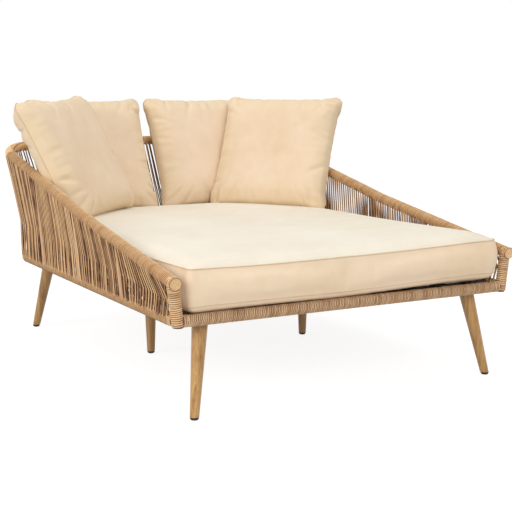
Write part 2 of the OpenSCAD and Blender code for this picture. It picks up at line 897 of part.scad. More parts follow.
module mid_left_tube() {
  color(tan_tube)
    placed()
      mirror([1, 0, 0])
        mid_side();
}

module mid_back_tube() {
  color(tan_tube)
    placed()
      translate([0, fix_gap, 0])
        mid_back_solid(mid_r);
}

module side_rib(k) {
  difference() {
    rib_core(k, rib_r);
    ring_side_solid(tube_r + fix_gap);
    if (k < 0)
      arm_front_solid(tube_r + fix_gap);
    else
      arm_rear_solid(tube_r + fix_gap);
    mid_side_solid(mid_r + fix_gap);
  }
}

module ribs_right() {
  color(tan_rib)
    placed()
      for (k = [-1 : 1])
        side_rib(k);
}

module ribs_left() {
  color(tan_rib)
    placed()
      mirror([1, 0, 0])
        for (k = [-1 : 1])
          side_rib(k);
}

module ribs_back() {
  color(tan_rib)
    placed()
      for (m = [0, 1])
        mirror([m, 0, 0])
          difference() {
            back_rib_core(rib_r);
            translate([0, fix_gap, 0]) {
              ring_back_straight(tube_r + fix_gap);
              bow_solid(tube_r + fix_gap);
              mid_back_straight(mid_r + fix_gap);
            }
          }
}

module cross_front() {
  color(steel)
    placed()
      difference() {
        cross_bar(-cross_front_y);
        plate_holes(0);
      }
}

module cross_middle() {
  color(steel)
    placed()
      difference() {
        cross_bar(cross_mid_y);
        plate_holes(1);
      }
}

module cross_back() {
  color(steel)
    placed()
      difference() {
        cross_bar(cross_back_y);
        plate_holes(2);
      }
}

module plate_holes(i) {
  for (m = [0, 1])
    mirror([m, 0, 0])
      screw_spots(i)
        translate([0, 0, -1])
          cylinder(h = tube_wall + 2, r = screw_r + fix_gap);
}

module deck_slats() {
  color(steel)
    placed()
      for (i = [0 : slat_count - 1])
        translate([(i - (slat_count - 1) / 2) * slat_pitch, 0, slat_z + slat_t / 2])
          cube([slat_w, 2 * (ring_half_d - wind_r - slat_end), slat_t], center = true);
}

module leg_plates() {
  color(steel)
    placed()
      for (m = [0, 1])
        mirror([m, 0, 0])
          for (i = [0 : 2])
            plate(i);
}

module leg_screws() {
  color(steel)
    placed()
      for (m = [0, 1])
        mirror([m, 0, 0])
          for (i = [0 : 2])
            screw(i);
}

module leg_front_right() {
  color(tan_leg)
    placed()
      leg(0);
}

module leg_front_left() {
  color(tan_leg)
    placed()
      mirror([1, 0, 0])
        leg(0);
}

module leg_middle_right() {
  color(tan_leg)
    placed()
      leg(1);
}

module leg_middle_left() {
  color(tan_leg)
    placed()
      mirror([1, 0, 0])
        leg(1);
}

module leg_back_right() {
  color(tan_leg)
    placed()
      leg(2);
}

module leg_back_left() {
  color(tan_leg)
    placed()
      mirror([1, 0, 0])
        leg(2);
}

module foot_front_right() {
  color(black)
    placed()
      foot(0);
}

module foot_front_left() {
  color(black)
    placed()
      mirror([1, 0, 0])
        foot(0);
}

module foot_middle_right() {
  color(black)
    placed()
      foot(1);
}

module foot_middle_left() {
  color(black)
    placed()
      mirror([1, 0, 0])
        foot(1);
}

module foot_back_right() {
  color(black)
    placed()
      foot(2);
}

module foot_back_left() {
  color(black)
    placed()
      mirror([1, 0, 0])
        foot(2);
}

module wind_ring_front() {
  color(tan_wicker)
    placed()
      difference() {
        pipe([-ring_half_w, -ring_half_d, ring_z], [ring_half_w, -ring_half_d, ring_z],
             wind_r, wind_in);
        for (m = [0, 1])
          mirror([m, 0, 0]) {
            post_core(wind_r + fix_gap);
            ring_side_solid(tube_r + fix_gap);
          }
      }
}

module wind_ring_side() {
  stops = [-ring_half_d, rib_y(-1), rib_y(0), rib_y(1), ring_half_d - ring_corner_r];
  for (i = [0 : 3])
    difference() {
      pipe([ring_half_w, stops[i] + fix_gap / 2, ring_z],
           [ring_half_w, stops[i + 1] - fix_gap / 2, ring_z], wind_r, wind_in);
      post_core(wind_r + fix_gap);
      ring_front_solid(wind_r + fix_gap);
      cross_cuts(fix_gap);
      for (k = [-1 : 1])
        rib_core(k, rib_r + fix_gap);
    }
}

module wind_ring_right() {
  color(tan_wicker)
    placed()
      wind_ring_side();
}

module wind_ring_left() {
  color(tan_wicker)
    placed()
      mirror([1, 0, 0])
        wind_ring_side();
}

module wind_ring_back() {
  color(tan_wicker)
    placed()
      difference() {
        translate([0, fix_gap, 0])
          ring_back_pipe(wind_r, wind_in);
        cross_box(cross_back_y, fix_gap);
        for (m = [0, 1])
          mirror([m, 0, 0])
            back_rib_core(rib_r + fix_gap);
      }
}

module wind_post() {
  difference() {
    post_core(wind_r);
    post_core(wind_in, 0.1);
    below_post_cut();
    arm_front_solid(wind_r + fix_gap);
    at_arm_end()
      cylinder(h = 2 * disc_r, r = disc_r + fix_gap);
    ring_side_solid(tube_r + fix_gap);
    ring_front_solid(tube_r + fix_gap);
  }
}

module wind_post_right() {
  color(tan_wicker)
    placed()
      wind_post();
}

module wind_post_left() {
  color(tan_wicker)
    placed()
      mirror([1, 0, 0])
        wind_post();
}

module wind_arm(side) {
  difference() {
    arm_pipe(side, wind_r, wind_in);
    mirror([side < 0 ? 1 : 0, 0, 0]) {
      post_core(tube_r + fix_gap);
      for (k = [-1 : 1])
        rib_core(k, rib_r + fix_gap);
    }
  }
}

module wind_top_right() {
  color(tan_wicker)
    placed()
      wind_arm(1);
}

module wind_top_left() {
  color(tan_wicker)
    placed()
      wind_arm(-1);
}

module wind_top_back() {
  color(tan_wicker)
    placed()
      difference() {
        translate([0, fix_gap, 0])
          back_pipe(wind_r, wind_in);
        for (m = [0, 1])
          mirror([m, 0, 0])
            back_rib_core(rib_r + fix_gap);
      }
}

module at_arm_end() {
  translate([top_half_w, arm_front_y, arm_front_z])
    rotate([90 + arm_slope, 0, 0])
      children();
}

module end_disc() {
  at_arm_end()
    translate([0, 0, fix_gap])
      rotate_extrude()
        polygon([
          [0, 0], [disc_r, 0], [disc_r, disc_t * 0.6],
          [disc_r * disc_bevel, disc_t], [0, disc_t]
        ]);
}

module end_disc_right() {
  color(tan_wicker)
    placed()
      end_disc();
}

module end_disc_left() {
  color(tan_wicker)
    placed()
      mirror([1, 0, 0])
        end_disc();
}

module weave_side_outer() {
  for (k = [0 : 3])
    strip([for (s = bays[k]) outer_profile(s)]);
}

module weave_side_inner() {
  for (k = [0 : 3])
    strip([for (s = bays[k]) inner_profile(s)]);
}

module weave_right_outer() {
  color(tan_wicker)
    placed()
      weave_side_outer();
}

module weave_left_outer() {
  color(tan_wicker)
    placed()
      mirror([1, 0, 0])
        weave_side_outer();
}

module weave_right_inner() {
  color(tan_wicker)
    placed()
      weave_side_inner();
}

module weave_left_inner() {
  color(tan_wicker)
    placed()
      mirror([1, 0, 0])
        weave_side_inner();
}

module weave_back_outer() {
  color(tan_wicker)
    placed()
      translate([0, fix_gap, 0]) {
        for (m = [0, 1])
          mirror([m, 0, 0])
            strip([for (s = back_side_stations()) outer_profile(s)]);
        strip([for (s = back_mid_stations()) outer_profile(s)]);
      }
}

module weave_back_inner() {
  color(tan_wicker)
    placed()
      translate([0, fix_gap, 0]) {
        for (m = [0, 1])
          mirror([m, 0, 0])
            strip([for (s = back_side_stations()) inner_profile(s)]);
        strip([for (s = back_mid_stations()) inner_profile(s)]);
      }
}

module seat_cushion() {
  color(cream)
    placed()
      stacked([for (r = seat_rings) seat_ring(r[0], r[1])], seat_steps);
}

module pillow_front_left() {
  color(pillow_tan)
    placed()
      set_pillow(-side_pillow_x, side_pillow_y, left_yaw, left_lean);
}

module pillow_back_left() {
  color(pillow_tan)
    placed()
      set_pillow(-back_left_x, back_pillow_y, 0, back_lean);
}

module pillow_back_right() {
  color(pillow_tan)
    placed()
      set_pillow(back_right_x, back_pillow_y, 0, back_lean);
}

module pillow_front_right() {
  color(pillow_tan)
    placed()
      set_pillow(side_pillow_x + pillow_reach(left_yaw, left_lean) - pillow_reach(right_yaw, right_lean),
                 side_pillow_y, -right_yaw, right_lean);
}

ring_front_tube();
ring_left_tube();
ring_right_tube();
ring_back_tube();
post_left();
post_right();
top_left_tube();
top_right_tube();
top_back_tube();
mid_left_tube();
mid_right_tube();
mid_back_tube();
ribs_left();
ribs_right();
ribs_back();
cross_front();
cross_middle();
cross_back();
deck_slats();
leg_plates();
leg_screws();
leg_front_left();
leg_front_right();
leg_middle_left();
leg_middle_right();
leg_back_left();
leg_back_right();
foot_front_left();
foot_front_right();
foot_middle_left();
foot_middle_right();
foot_back_left();
foot_back_right();
wind_ring_front();
wind_ring_left();
wind_ring_right();
wind_ring_back();
wind_post_left();
wind_post_right();
wind_top_left();
wind_top_right();
wind_top_back();
end_disc_left();
end_disc_right();
weave_left_outer();
weave_left_inner();
weave_right_outer();
weave_right_inner();
weave_back_outer();
weave_back_inner();
seat_cushion();
pillow_front_left();
pillow_back_left();
pillow_back_right();
pillow_front_right();
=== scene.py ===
import math
import random

import bmesh
import bpy
from mathutils import Euler, Matrix, Vector, noise


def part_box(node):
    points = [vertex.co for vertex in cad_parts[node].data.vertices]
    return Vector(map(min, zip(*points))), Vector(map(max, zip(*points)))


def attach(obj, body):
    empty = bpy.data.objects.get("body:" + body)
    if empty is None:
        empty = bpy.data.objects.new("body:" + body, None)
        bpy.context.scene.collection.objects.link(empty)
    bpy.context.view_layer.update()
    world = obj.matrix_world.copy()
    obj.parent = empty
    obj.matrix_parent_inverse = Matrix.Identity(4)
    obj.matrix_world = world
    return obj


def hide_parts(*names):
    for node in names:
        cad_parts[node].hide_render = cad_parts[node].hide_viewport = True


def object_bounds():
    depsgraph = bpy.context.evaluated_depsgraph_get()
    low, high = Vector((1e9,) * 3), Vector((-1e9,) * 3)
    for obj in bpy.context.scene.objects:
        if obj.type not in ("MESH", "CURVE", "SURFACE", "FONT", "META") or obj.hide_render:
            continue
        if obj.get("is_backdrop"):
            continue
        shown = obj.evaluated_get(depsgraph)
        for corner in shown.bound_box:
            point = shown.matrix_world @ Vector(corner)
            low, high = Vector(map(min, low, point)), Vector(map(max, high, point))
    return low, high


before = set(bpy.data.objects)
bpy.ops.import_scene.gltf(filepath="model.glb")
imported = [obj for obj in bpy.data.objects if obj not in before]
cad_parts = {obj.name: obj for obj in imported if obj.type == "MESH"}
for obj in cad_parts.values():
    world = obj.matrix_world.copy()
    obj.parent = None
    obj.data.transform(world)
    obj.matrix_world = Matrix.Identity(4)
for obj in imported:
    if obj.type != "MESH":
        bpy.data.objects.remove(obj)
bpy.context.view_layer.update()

# Main sizes of the daybed, in metres
RING_W = 0.608
RING_D = 0.741
RING_Z = 0.304
RING_CORNER = 0.080
WOUND_R = 0.0185
TOP_W = 0.622
TOP_FRONT_Z = 0.422
BEND_Y = -0.020
ARM_SLOPE = math.radians(9.1)
BACK_SLOPE = math.radians(11.4)
TOP_BACK_Y = 0.915
TOP_BOW = 0.055
TOP_CORNER = 0.150
MID_FRONT_Z = 0.364
MID_SLOPE = math.radians(3.3)
MID_W = 0.616
MID_BACK_Y = 0.822
MID_CORNER = 0.172
RIB_Y = 0.027
RIB_PITCH = 0.385
RIB_LEAN = 0.040
RIB_LEAN_STEP = 0.012
RIB_HALF = 0.0145
RIB_BACK_X = 0.203

# The frame is centred on its outline, the sizes above on the bottom ring
low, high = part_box("ring_front_tube")
SHIFT = Vector((0.0, (low.y + high.y) / 2 + RING_D, 0.0))

# Worked out from the sizes, with v as the distance up the slope behind the bend
BEND_Z = TOP_FRONT_Z + (BEND_Y + RING_D) * math.tan(ARM_SLOPE)
PLANE_V = (TOP_BACK_Y - BEND_Y) / math.cos(BACK_SLOPE)
BOW_R = (TOP_W ** 2 + TOP_BOW ** 2) / (2 * TOP_BOW)
BOW_V = PLANE_V + TOP_BOW - BOW_R
CORNER_X = TOP_W - TOP_CORNER
CORNER_V = BOW_V + math.sqrt((BOW_R - TOP_CORNER) ** 2 - CORNER_X ** 2)
CORNER_TURN = math.pi / 2 - math.asin(CORNER_X / (BOW_R - TOP_CORNER))
BOW_EDGE = BOW_R * math.cos(CORNER_TURN)
ARM_END_Y = BEND_Y + CORNER_V * math.cos(BACK_SLOPE)
ARM_FRONT_Y = -RING_D - WOUND_R
MID_TURN_Y = MID_BACK_Y - MID_CORNER


def mix(a, b, t):
    return a + (b - a) * t


def steps(a, b, count):
    """The values from a to b in so many equal steps."""
    return [mix(a, b, i / count) for i in range(count + 1)]


def arm_z(y):
    if y < BEND_Y:
        return TOP_FRONT_Z + (y + RING_D) * math.tan(ARM_SLOPE)
    return BEND_Z + (y - BEND_Y) * math.tan(BACK_SLOPE)


def mid_z(y):
    return MID_FRONT_Z + (y + RING_D) * math.tan(MID_SLOPE)


def back_point(x, v):
    return Vector((x, BEND_Y + v * math.cos(BACK_SLOPE), BEND_Z + v * math.sin(BACK_SLOPE)))


def bow_at(x):
    return BOW_V + math.sqrt(BOW_R ** 2 - x ** 2)


def rib_at(k):
    """Where rib k of a side has its foot, its middle and its top."""
    foot = RIB_Y + k * RIB_PITCH
    top = foot + RIB_LEAN + k * RIB_LEAN_STEP
    return foot, mix(foot, top, (mid_z(foot) - RING_Z) / (arm_z(foot) - RING_Z)), top


# Node helpers


class Net:
    """A node tree, with short ways to add to it."""

    def __init__(self, tree):
        self.tree = tree

    def node(self, kind, values=None, **settings):
        made = self.tree.nodes.new(kind)
        for name, value in settings.items():
            setattr(made, name, value)
        for socket, value in (values or {}).items():
            if isinstance(value, bpy.types.NodeSocket):
                self.tree.links.new(value, made.inputs[socket])
            else:
                made.inputs[socket].default_value = value
        return made

    def add(self, kind, values=None, output=0, **settings):
        """One output of a new node."""
        return self.node(kind, values, **settings).outputs[output]

    def calc(self, kind, *values):
        return self.add("ShaderNodeMath", dict(enumerate(values)), operation=kind)

    def point(self, *values):
        return self.add("ShaderNodeCombineXYZ", dict(enumerate(values)))

    def total(self, *parts):
        """The sum of values, each times its weight."""
        result, *more = [self.calc("MULTIPLY", value, weight) for value, weight in parts]
        for value in more:
            result = self.calc("ADD", result, value)
        return result

    def spread(self, value, low, high, out_low=0.0, out_high=1.0):
        return self.add("ShaderNodeMapRange", {
            "Value": value, "From Min": low, "From Max": high, "To Min": out_low, "To Max": out_high
        })


def tone(red, green, blue):
    """A colour as a paint chart gives it, made linear for the shader."""
    parts = []
    for level in (red, green, blue):
        level /= 255
        parts.append(level / 12.92 if level <= 0.04045 else ((level + 0.055) / 1.055) ** 2.4)
    return (*parts, 1.0)


class Finish(Net):
    """One surface finish, built node by node."""

    def __init__(self, name, roughness, specular, more=None):
        self.material = bpy.data.materials.new(name)
        self.material.use_nodes = True
        super().__init__(self.material.node_tree)
        self.tree.nodes.clear()
        self.shader = self.node("ShaderNodeBsdfPrincipled", {
            "Roughness": roughness, "Specular IOR Level": specular, **(more or {})
        })
        self.out = self.node("ShaderNodeOutputMaterial", {0: self.shader.outputs[0]})
        self.place = self.add("ShaderNodeTexCoord", output="Object")

    def attribute(self, name):
        return self.add("ShaderNodeAttribute", output="Fac", attribute_name=name)

    def noise(self, scale, source=None, detail=3.0, distortion=0.0):
        return self.add("ShaderNodeTexNoise", {
            "Vector": source or self.place, "Scale": scale, "Detail": detail, "Distortion": distortion
        }, "Fac")

    def streaks(self, scales, source=None, **settings):
        """Noise drawn out, with a scale for each axis."""
        place = self.add("ShaderNodeMapping", {"Vector": source or self.place, "Scale": scales})
        return self.noise(1.0, place, **settings)

    def ramp(self, value, stops):
        made = self.node("ShaderNodeValToRGB", {"Fac": value})
        band = made.color_ramp.elements
        while len(band) < len(stops):
            band.new(1.0)
        for element, (place, colour) in zip(band, stops):
            element.position = place
            element.color = tone(*colour)
        return made.outputs[0]

    def blend(self, share, a, b):
        return self.add("ShaderNodeMix", {0: share, 6: a, 7: b}, 2, data_type="RGBA")

    def feed(self, socket, value):
        self.tree.links.new(value, self.shader.inputs[socket])

    def bump(self, height, distance, strength=0.5):
        """Adds relief on top of the relief that is already there."""
        values = {"Height": height, "Distance": distance, "Strength": strength}
        for link in self.shader.inputs["Normal"].links:
            values["Normal"] = link.from_socket
        self.feed("Normal", self.add("ShaderNodeBump", values))

    def paint(self, colour, *rough):
        """Sets the colour and the roughness, which is spread from a pattern, and gives the material."""
        self.feed("Base Color", colour)
        self.feed("Roughness", self.spread(*rough))
        return self.material


# Finishes

THREAD = 0.0011
WAVE_TURN = 6.283
PILLOW = 0.512


def wicker_finish(name, light, middle, dark, deep, patch_scale=40.0, own_share=0.21, level=(0.20, 0.54)):
    """Flat synthetic cane: streaky tans along each cane, with painted shade on its flanks where canes meet
    and, for strands, on the faces that look into the gap between two layers.

    The own share is how much one cane differs from the next.
    """
    made = Finish(name, 0.52, 0.35)
    shade = made.attribute("shade")
    across = made.attribute("across")
    patches = made.noise(patch_scale, detail=2.0)
    fibres = made.streaks((3.0, 26.0, 40.0), made.point(made.attribute("along"), across, shade), detail=4.0)
    value = made.spread(made.total((shade, own_share), (patches, 0.30), (fibres, 0.32)), *level)
    base = made.ramp(value, [(0.0, deep), (0.12, dark), (0.50, middle), (1.0, light)])
    # Painted shade: each cane turns towards the deep colour at its flanks, where it meets the next
    flank = made.calc("ABSOLUTE", made.calc("SUBTRACT", across, 0.5))
    flank = made.calc("ABSOLUTE", made.calc("SUBTRACT", flank, 0.25))
    painted_flank_shade = made.calc("MULTIPLY", made.spread(flank, 0.11, 0.02), 0.75)
    # Painted shade on the faces of strands that look into the gap between the two layers
    cavity = made.spread(made.attribute("cavity"), 0.40, 0.80, 0.0, 0.92)
    made.bump(fibres, 0.0002)
    for shadow in (painted_flank_shade, cavity):
        base = made.blend(shadow, base, tone(*deep))
    return made.paint(base, fibres, 0.2, 0.8, 0.48, 0.66)


def cloth_finish(name, light, middle, shade, rim=None):
    """Woven polyester: two sets of threads, soft colour drift, a little sheen, and, when a rim colour is
    given, painted shade that turns it darker and warmer towards the rim.
    """
    made = Finish(name, 0.86, 0.2, {"Sheen Weight": 0.12, "Sheen Roughness": 0.5})
    uv = made.add("ShaderNodeUVMap", uv_map="cloth")
    warp, weft = [made.add("ShaderNodeTexWave", {
        "Vector": uv, "Scale": 1.0 / THREAD / WAVE_TURN * 2, "Distortion": 0.6, "Detail": 1.0
    }, "Fac", bands_direction=way) for way in "XY"]
    threads = made.calc("MULTIPLY", warp, weft)
    slubs = made.calc("ADD", made.streaks((60.0, 900.0, 1.0), uv), made.streaks((900.0, 60.0, 1.0), uv))
    drift = made.noise(3.2, detail=2.0)
    value = made.total((drift, 0.55), (made.noise(22.0), 0.25), (slubs, 0.14), (threads, 0.10))
    base = made.ramp(made.spread(value, 0.36, 0.78), [(0.0, shade), (0.5, middle), (1.0, light)])
    # Painted shade: the cloth turns towards the rim colour near the edges of a pillow panel
    if rim:
        spot = made.node("ShaderNodeSeparateXYZ", {0: uv}).outputs
        reach = [made.calc("ABSOLUTE", made.calc("SUBTRACT", spot[axis], PILLOW / 2)) for axis in (0, 1)]
        near = made.spread(made.calc("MAXIMUM", *reach), PILLOW * 0.26, PILLOW * 0.5, 0.0, 0.65)
        base = made.blend(near, base, tone(*rim))
    made.bump(threads, 0.00025)
    made.bump(slubs, 0.0002)
    return made.paint(base, threads, 0.0, 1.0, 0.92, 0.80)


def leg_finish():
    """Round legs with a printed timber grain under a satin lacquer."""
    made = Finish("leg_wood_print", 0.36, 0.5, {"Coat Weight": 0.25, "Coat Roughness": 0.25})
    grain = made.streaks((260.0, 260.0, 7.0), detail=5.0, distortion=0.4)
    broad = made.streaks((46.0, 46.0, 3.0), distortion=0.8)
    value = made.spread(made.total((grain, 0.45), (broad, 0.65)), 0.36, 0.74)
    colours = [(0.0, (138, 98, 48)), (0.4, (176, 130, 70)), (1.0, (206, 162, 100))]
    made.bump(grain, 0.00015)
    return made.paint(made.ramp(value, colours), grain, 0.3, 0.7, 0.30, 0.44)


def cap_finish():
    """Black moulded plastic with a fine grit and faint scuffs."""
    made = Finish("cap_black", 0.5, 0.4)
    cloud = made.noise(18.0, detail=4.0)
    base = made.blend(made.spread(cloud, 0.3, 0.75), tone(22, 21, 20), tone(34, 32, 30))
    made.bump(made.noise(900.0, detail=2.0), 0.00015, 0.3)
    return made.paint(base, cloud, 0.3, 0.7, 0.42, 0.6)


def rib_finish():
    """Split cane rib: smooth, with long faint streaks from foot to top."""
    made = Finish("rib_cane", 0.5, 0.35)
    streak = made.streaks((300.0, 300.0, 9.0), detail=4.0)
    value = made.spread(made.total((streak, 0.6), (made.noise(26.0), 0.4)), 0.35, 0.68)
    base = made.blend(value, tone(192, 150, 114), tone(220, 184, 146))
    made.bump(streak, 0.0003)
    return made.paint(base, streak, 0.3, 0.7, 0.42, 0.6)


def steel_finish(name, colour, dark, metal=0.0):
    """Coated steel: even colour with orange peel and rubbed spots."""
    made = Finish(name, 0.45, 0.5, {"Metallic": metal})
    cloud = made.noise(9.0)
    base = made.blend(made.spread(cloud, 0.35, 0.7), tone(*dark), tone(*colour))
    made.bump(made.noise(700.0, detail=1.0), 0.0002, 0.4)
    return made.paint(base, cloud, 0.3, 0.7, 0.38, 0.55)


wound_cane = wicker_finish("wound_cane", (252, 216, 164), (243, 199, 146), (212, 165, 117), (100, 64, 40))
# A darker copy of the wound cane for the front rail: painted shade
front_cane = wicker_finish("front_cane", (222, 186, 144), (202, 163, 124), (168, 130, 98), (84, 56, 40))
post_cane = wicker_finish("post_cane", (236, 198, 150), (218, 174, 128), (182, 138, 100), (84, 54, 36))
strand_cane = wicker_finish("strand_cane", (240, 198, 148), (212, 166, 119), (162, 118, 82), (78, 48, 32),
                            20.0, 0.36, (0.28, 0.66))
# One seat fabric in two copies: painted light makes the top paler and cooler, painted shade makes the boxing
# strip warmer
seat_cloth = cloth_finish("seat_cloth", (239, 232, 217), (235, 226, 208), (228, 217, 195))
side_cloth = cloth_finish("side_cloth", (247, 226, 198), (243, 219, 189), (236, 208, 174))
# The pillow cloth carries painted shade towards its rim
pillow_cloth = cloth_finish("pillow_cloth", (237, 217, 191), (231, 208, 181), (222, 196, 163),
                            rim=(226, 203, 166))
seam_thread = cloth_finish("seam_thread", (236, 214, 182), (226, 202, 168), (210, 184, 148))
pillow_seam = cloth_finish("pillow_seam", (226, 200, 162), (216, 188, 150), (200, 170, 130))
leg_grain = leg_finish()
cap_black = cap_finish()
rib_cane = rib_finish()
tube_brown = steel_finish("tube_coated", (112, 80, 58), (88, 62, 44))
deck_steel = steel_finish("deck_coated", (92, 84, 76), (70, 64, 58))
screw_zinc = steel_finish("screw_zinc", (190, 190, 188), (150, 150, 150), 0.9)


# Meshes


def placed(name, data):
    """A new object in the scene."""
    made = bpy.data.objects.new(name, data)
    bpy.context.scene.collection.objects.link(made)
    return made


def solid_of(name, verts, faces, finish):
    mesh = bpy.data.meshes.new(name)
    mesh.from_pydata([tuple(v) for v in verts], [], faces)
    mesh.validate()
    mesh.materials.append(finish)
    mesh.shade_smooth()
    return placed(name, mesh)


def loft(faces, start, rings, sides):
    """Adds the faces of a rod whose rings of points begin at start, with a cap at each end."""
    for i in range(rings - 1):
        for j in range(sides):
            a, b = start + i * sides + j, start + i * sides + (j + 1) % sides
            faces.append((a, b, b + sides, a + sides))
    faces.append(tuple(start + j for j in reversed(range(sides))))
    faces.append(tuple(start + (rings - 1) * sides + j for j in range(sides)))


def fix_normals(piece):
    work = bmesh.new()
    work.from_mesh(piece.data)
    bmesh.ops.recalc_face_normals(work, faces=work.faces)
    work.to_mesh(piece.data)
    work.free()


def extent(piece):
    """The lowest and the highest corner of the box round a piece."""
    spots = [v.co for v in piece.data.vertices]
    return [Vector([pick(p[a] for p in spots) for a in range(3)]) for pick in (min, max)]


def finished_mesh(piece):
    """The mesh of a piece with its modifiers run."""
    depsgraph = bpy.context.evaluated_depsgraph_get()
    return bpy.data.meshes.new_from_object(piece.evaluated_get(depsgraph))


def subdivide(piece):
    work = piece.modifiers.new("round", "SUBSURF")
    work.levels = work.render_levels = 1
    mesh = finished_mesh(piece)
    piece.modifiers.remove(work)
    piece.data = mesh
    mesh.shade_smooth()


def guide_of(name, points, extra=None):
    """A polyline to grow pieces on, with a vector at every point for each extra name."""
    mesh = bpy.data.meshes.new(name)
    mesh.from_pydata([tuple(p) for p in points], [(i, i + 1) for i in range(len(points) - 1)], [])
    for key, values in (extra or {}).items():
        layer = mesh.attributes.new(key, "FLOAT_VECTOR", "POINT")
        for item, value in zip(layer.data, values):
            item.vector = value
    return placed(name, mesh)


def grow(guide, tree, name, **values):
    """Runs a node tree on a guide and keeps the result as a plain mesh."""
    work = guide.modifiers.new("grow", "NODES")
    work.node_group = tree
    for item in tree.interface.items_tree:
        key = item.name.replace(" ", "_").lower()
        if item.item_type == "SOCKET" and item.in_out == "INPUT" and key in values:
            work[item.identifier] = values[key]
    mesh = finished_mesh(guide)
    mesh.name = name
    guide.modifiers.remove(work)
    bpy.data.objects.remove(guide)
    return placed(name, mesh)


def joined(name, pieces):
    """One mesh object from several, keeping every material and layer."""
    with bpy.context.temp_override(active_object=pieces[0], selected_editable_objects=pieces,
                                   selected_objects=pieces, object=pieces[0]):
        bpy.ops.object.join()
    pieces[0].name = name
    return pieces[0]


# Trees that grow the canes, a turn's play as an angle

PITCH = 0.0061
SIDE_PITCH = 0.0083
CANE_SHARE = 0.90
LEVEL_CANE = 0.0056
CANE_THICK = 0.0048
TURN_R = 0.0164
TURN_PLAY = 0.016
STRAND_R = 0.0028
STRAND_PLAY = 0.0012


class Growth(Net):
    """A tree that grows canes on a guide. Its inputs are the ones given, the seed and the finish."""

    def __init__(self, name, inputs):
        super().__init__(bpy.data.node_groups.new(name, "GeometryNodeTree"))
        sockets = self.tree.interface
        sockets.new_socket("Guide", in_out="INPUT", socket_type="NodeSocketGeometry")
        for label, value in {**inputs, "Seed": 1}.items():
            kind = "NodeSocketInt" if isinstance(value, int) else "NodeSocketFloat"
            sockets.new_socket(label, in_out="INPUT", socket_type=kind).default_value = value
        sockets.new_socket("Finish", in_out="INPUT", socket_type="NodeSocketMaterial")
        sockets.new_socket("Result", in_out="OUTPUT", socket_type="NodeSocketGeometry")
        self.give = self.node("NodeGroupInput").outputs

    def geo(self, kind, values=None, output=0, **settings):
        return self.add("GeometryNode" + kind, values, output, **settings)

    def spaced(self, key, mode):
        """Points along the guide, by their distance or their number."""
        path = self.geo("MeshToCurve", {"Mesh": self.give["Guide"]})
        return self.geo("ResampleCurve", {"Curve": path, mode.title(): self.give[key]}, mode=mode)

    def store(self, geometry, name, value, domain="POINT", kind="FLOAT"):
        return self.geo("StoreNamedAttribute", {"Geometry": geometry, "Name": name, "Value": value},
                        data_type=kind, domain=domain)

    def share(self, curve, name):
        """Stores how far along its curve each point is."""
        return self.store(curve, name, self.geo("SplineParameter", output="Factor"))

    def random(self, low, high, kind="FLOAT"):
        first = 0 if kind == "FLOAT_VECTOR" else 2
        return self.add("FunctionNodeRandomValue", {first: low, first + 1: high, "Seed": self.give["Seed"]},
                        first // 2, data_type=kind)

    def vectors(self, kind, a, b):
        return self.add("ShaderNodeVectorMath", {0: a, 1: b}, operation=kind)

    def sweep(self, path, section):
        return self.geo("CurveToMesh", {
            "Curve": path, "Profile Curve": self.share(section, "across"), "Fill Caps": True
        })

    def plain(self, geometry):
        return self.geo("RealizeInstances", {"Geometry": geometry})

    def end_with(self, geometry):
        smooth = self.geo("SetShadeSmooth", {"Geometry": geometry})
        dressed = self.geo("SetMaterial", {"Geometry": smooth, "Material": self.give["Finish"]})
        self.node("NodeGroupOutput", {0: dressed})
        return self.tree


def winding_tree():
    """Turns of cane round a tube, one every pitch along the guide, each climbing by the rise."""
    net = Growth("cane_winding", {
        "Pitch": PITCH, "Turn radius": TURN_R, "Cane width": LEVEL_CANE, "Cane thickness": CANE_THICK,
        "Rise": 0.0, "Spin": 0.0
    })
    give = net.give
    spaced = net.spaced("Pitch", "LENGTH")
    rim = net.geo("CurveSpiral", {
        "Resolution": 24, "Rotations": 1.0, "Start Radius": give["Turn radius"],
        "End Radius": give["Turn radius"], "Height": give["Rise"]
    })
    drop = net.point(0.0, 0.0, net.calc("MULTIPLY", give["Rise"], -0.5))
    rim = net.geo("Transform", {"Geometry": rim, "Translation": drop})
    section = net.geo("CurvePrimitiveCircle", {"Resolution": 8})
    oval = net.point(net.calc("MULTIPLY", give["Cane thickness"], 0.5),
                     net.calc("MULTIPLY", give["Cane width"], 0.5), 1.0)
    section = net.geo("Transform", {"Geometry": section, "Scale": oval})
    turn = net.sweep(net.share(rim, "along"), section)
    tangent = net.geo("InputTangent")
    aim = net.add("FunctionNodeAlignRotationToVector", {"Vector": tangent}, axis="Z")
    loose = net.random((-1.0, -1.0, -1.0), (1.0, 1.0, 1.0), "FLOAT_VECTOR")
    loose = net.vectors("MULTIPLY", loose, net.point(TURN_PLAY, TURN_PLAY, give["Spin"]))
    both = net.add("FunctionNodeRotateRotation", {0: aim, 1: loose}, rotation_space="LOCAL")
    turns = net.geo("InstanceOnPoints", {
        "Points": spaced, "Instance": turn, "Rotation": both, "Scale": net.random(0.992, 1.014)
    })
    turns = net.store(turns, "shade", net.random(0.0, 1.0), "INSTANCE")
    return net.end_with(net.plain(turns))


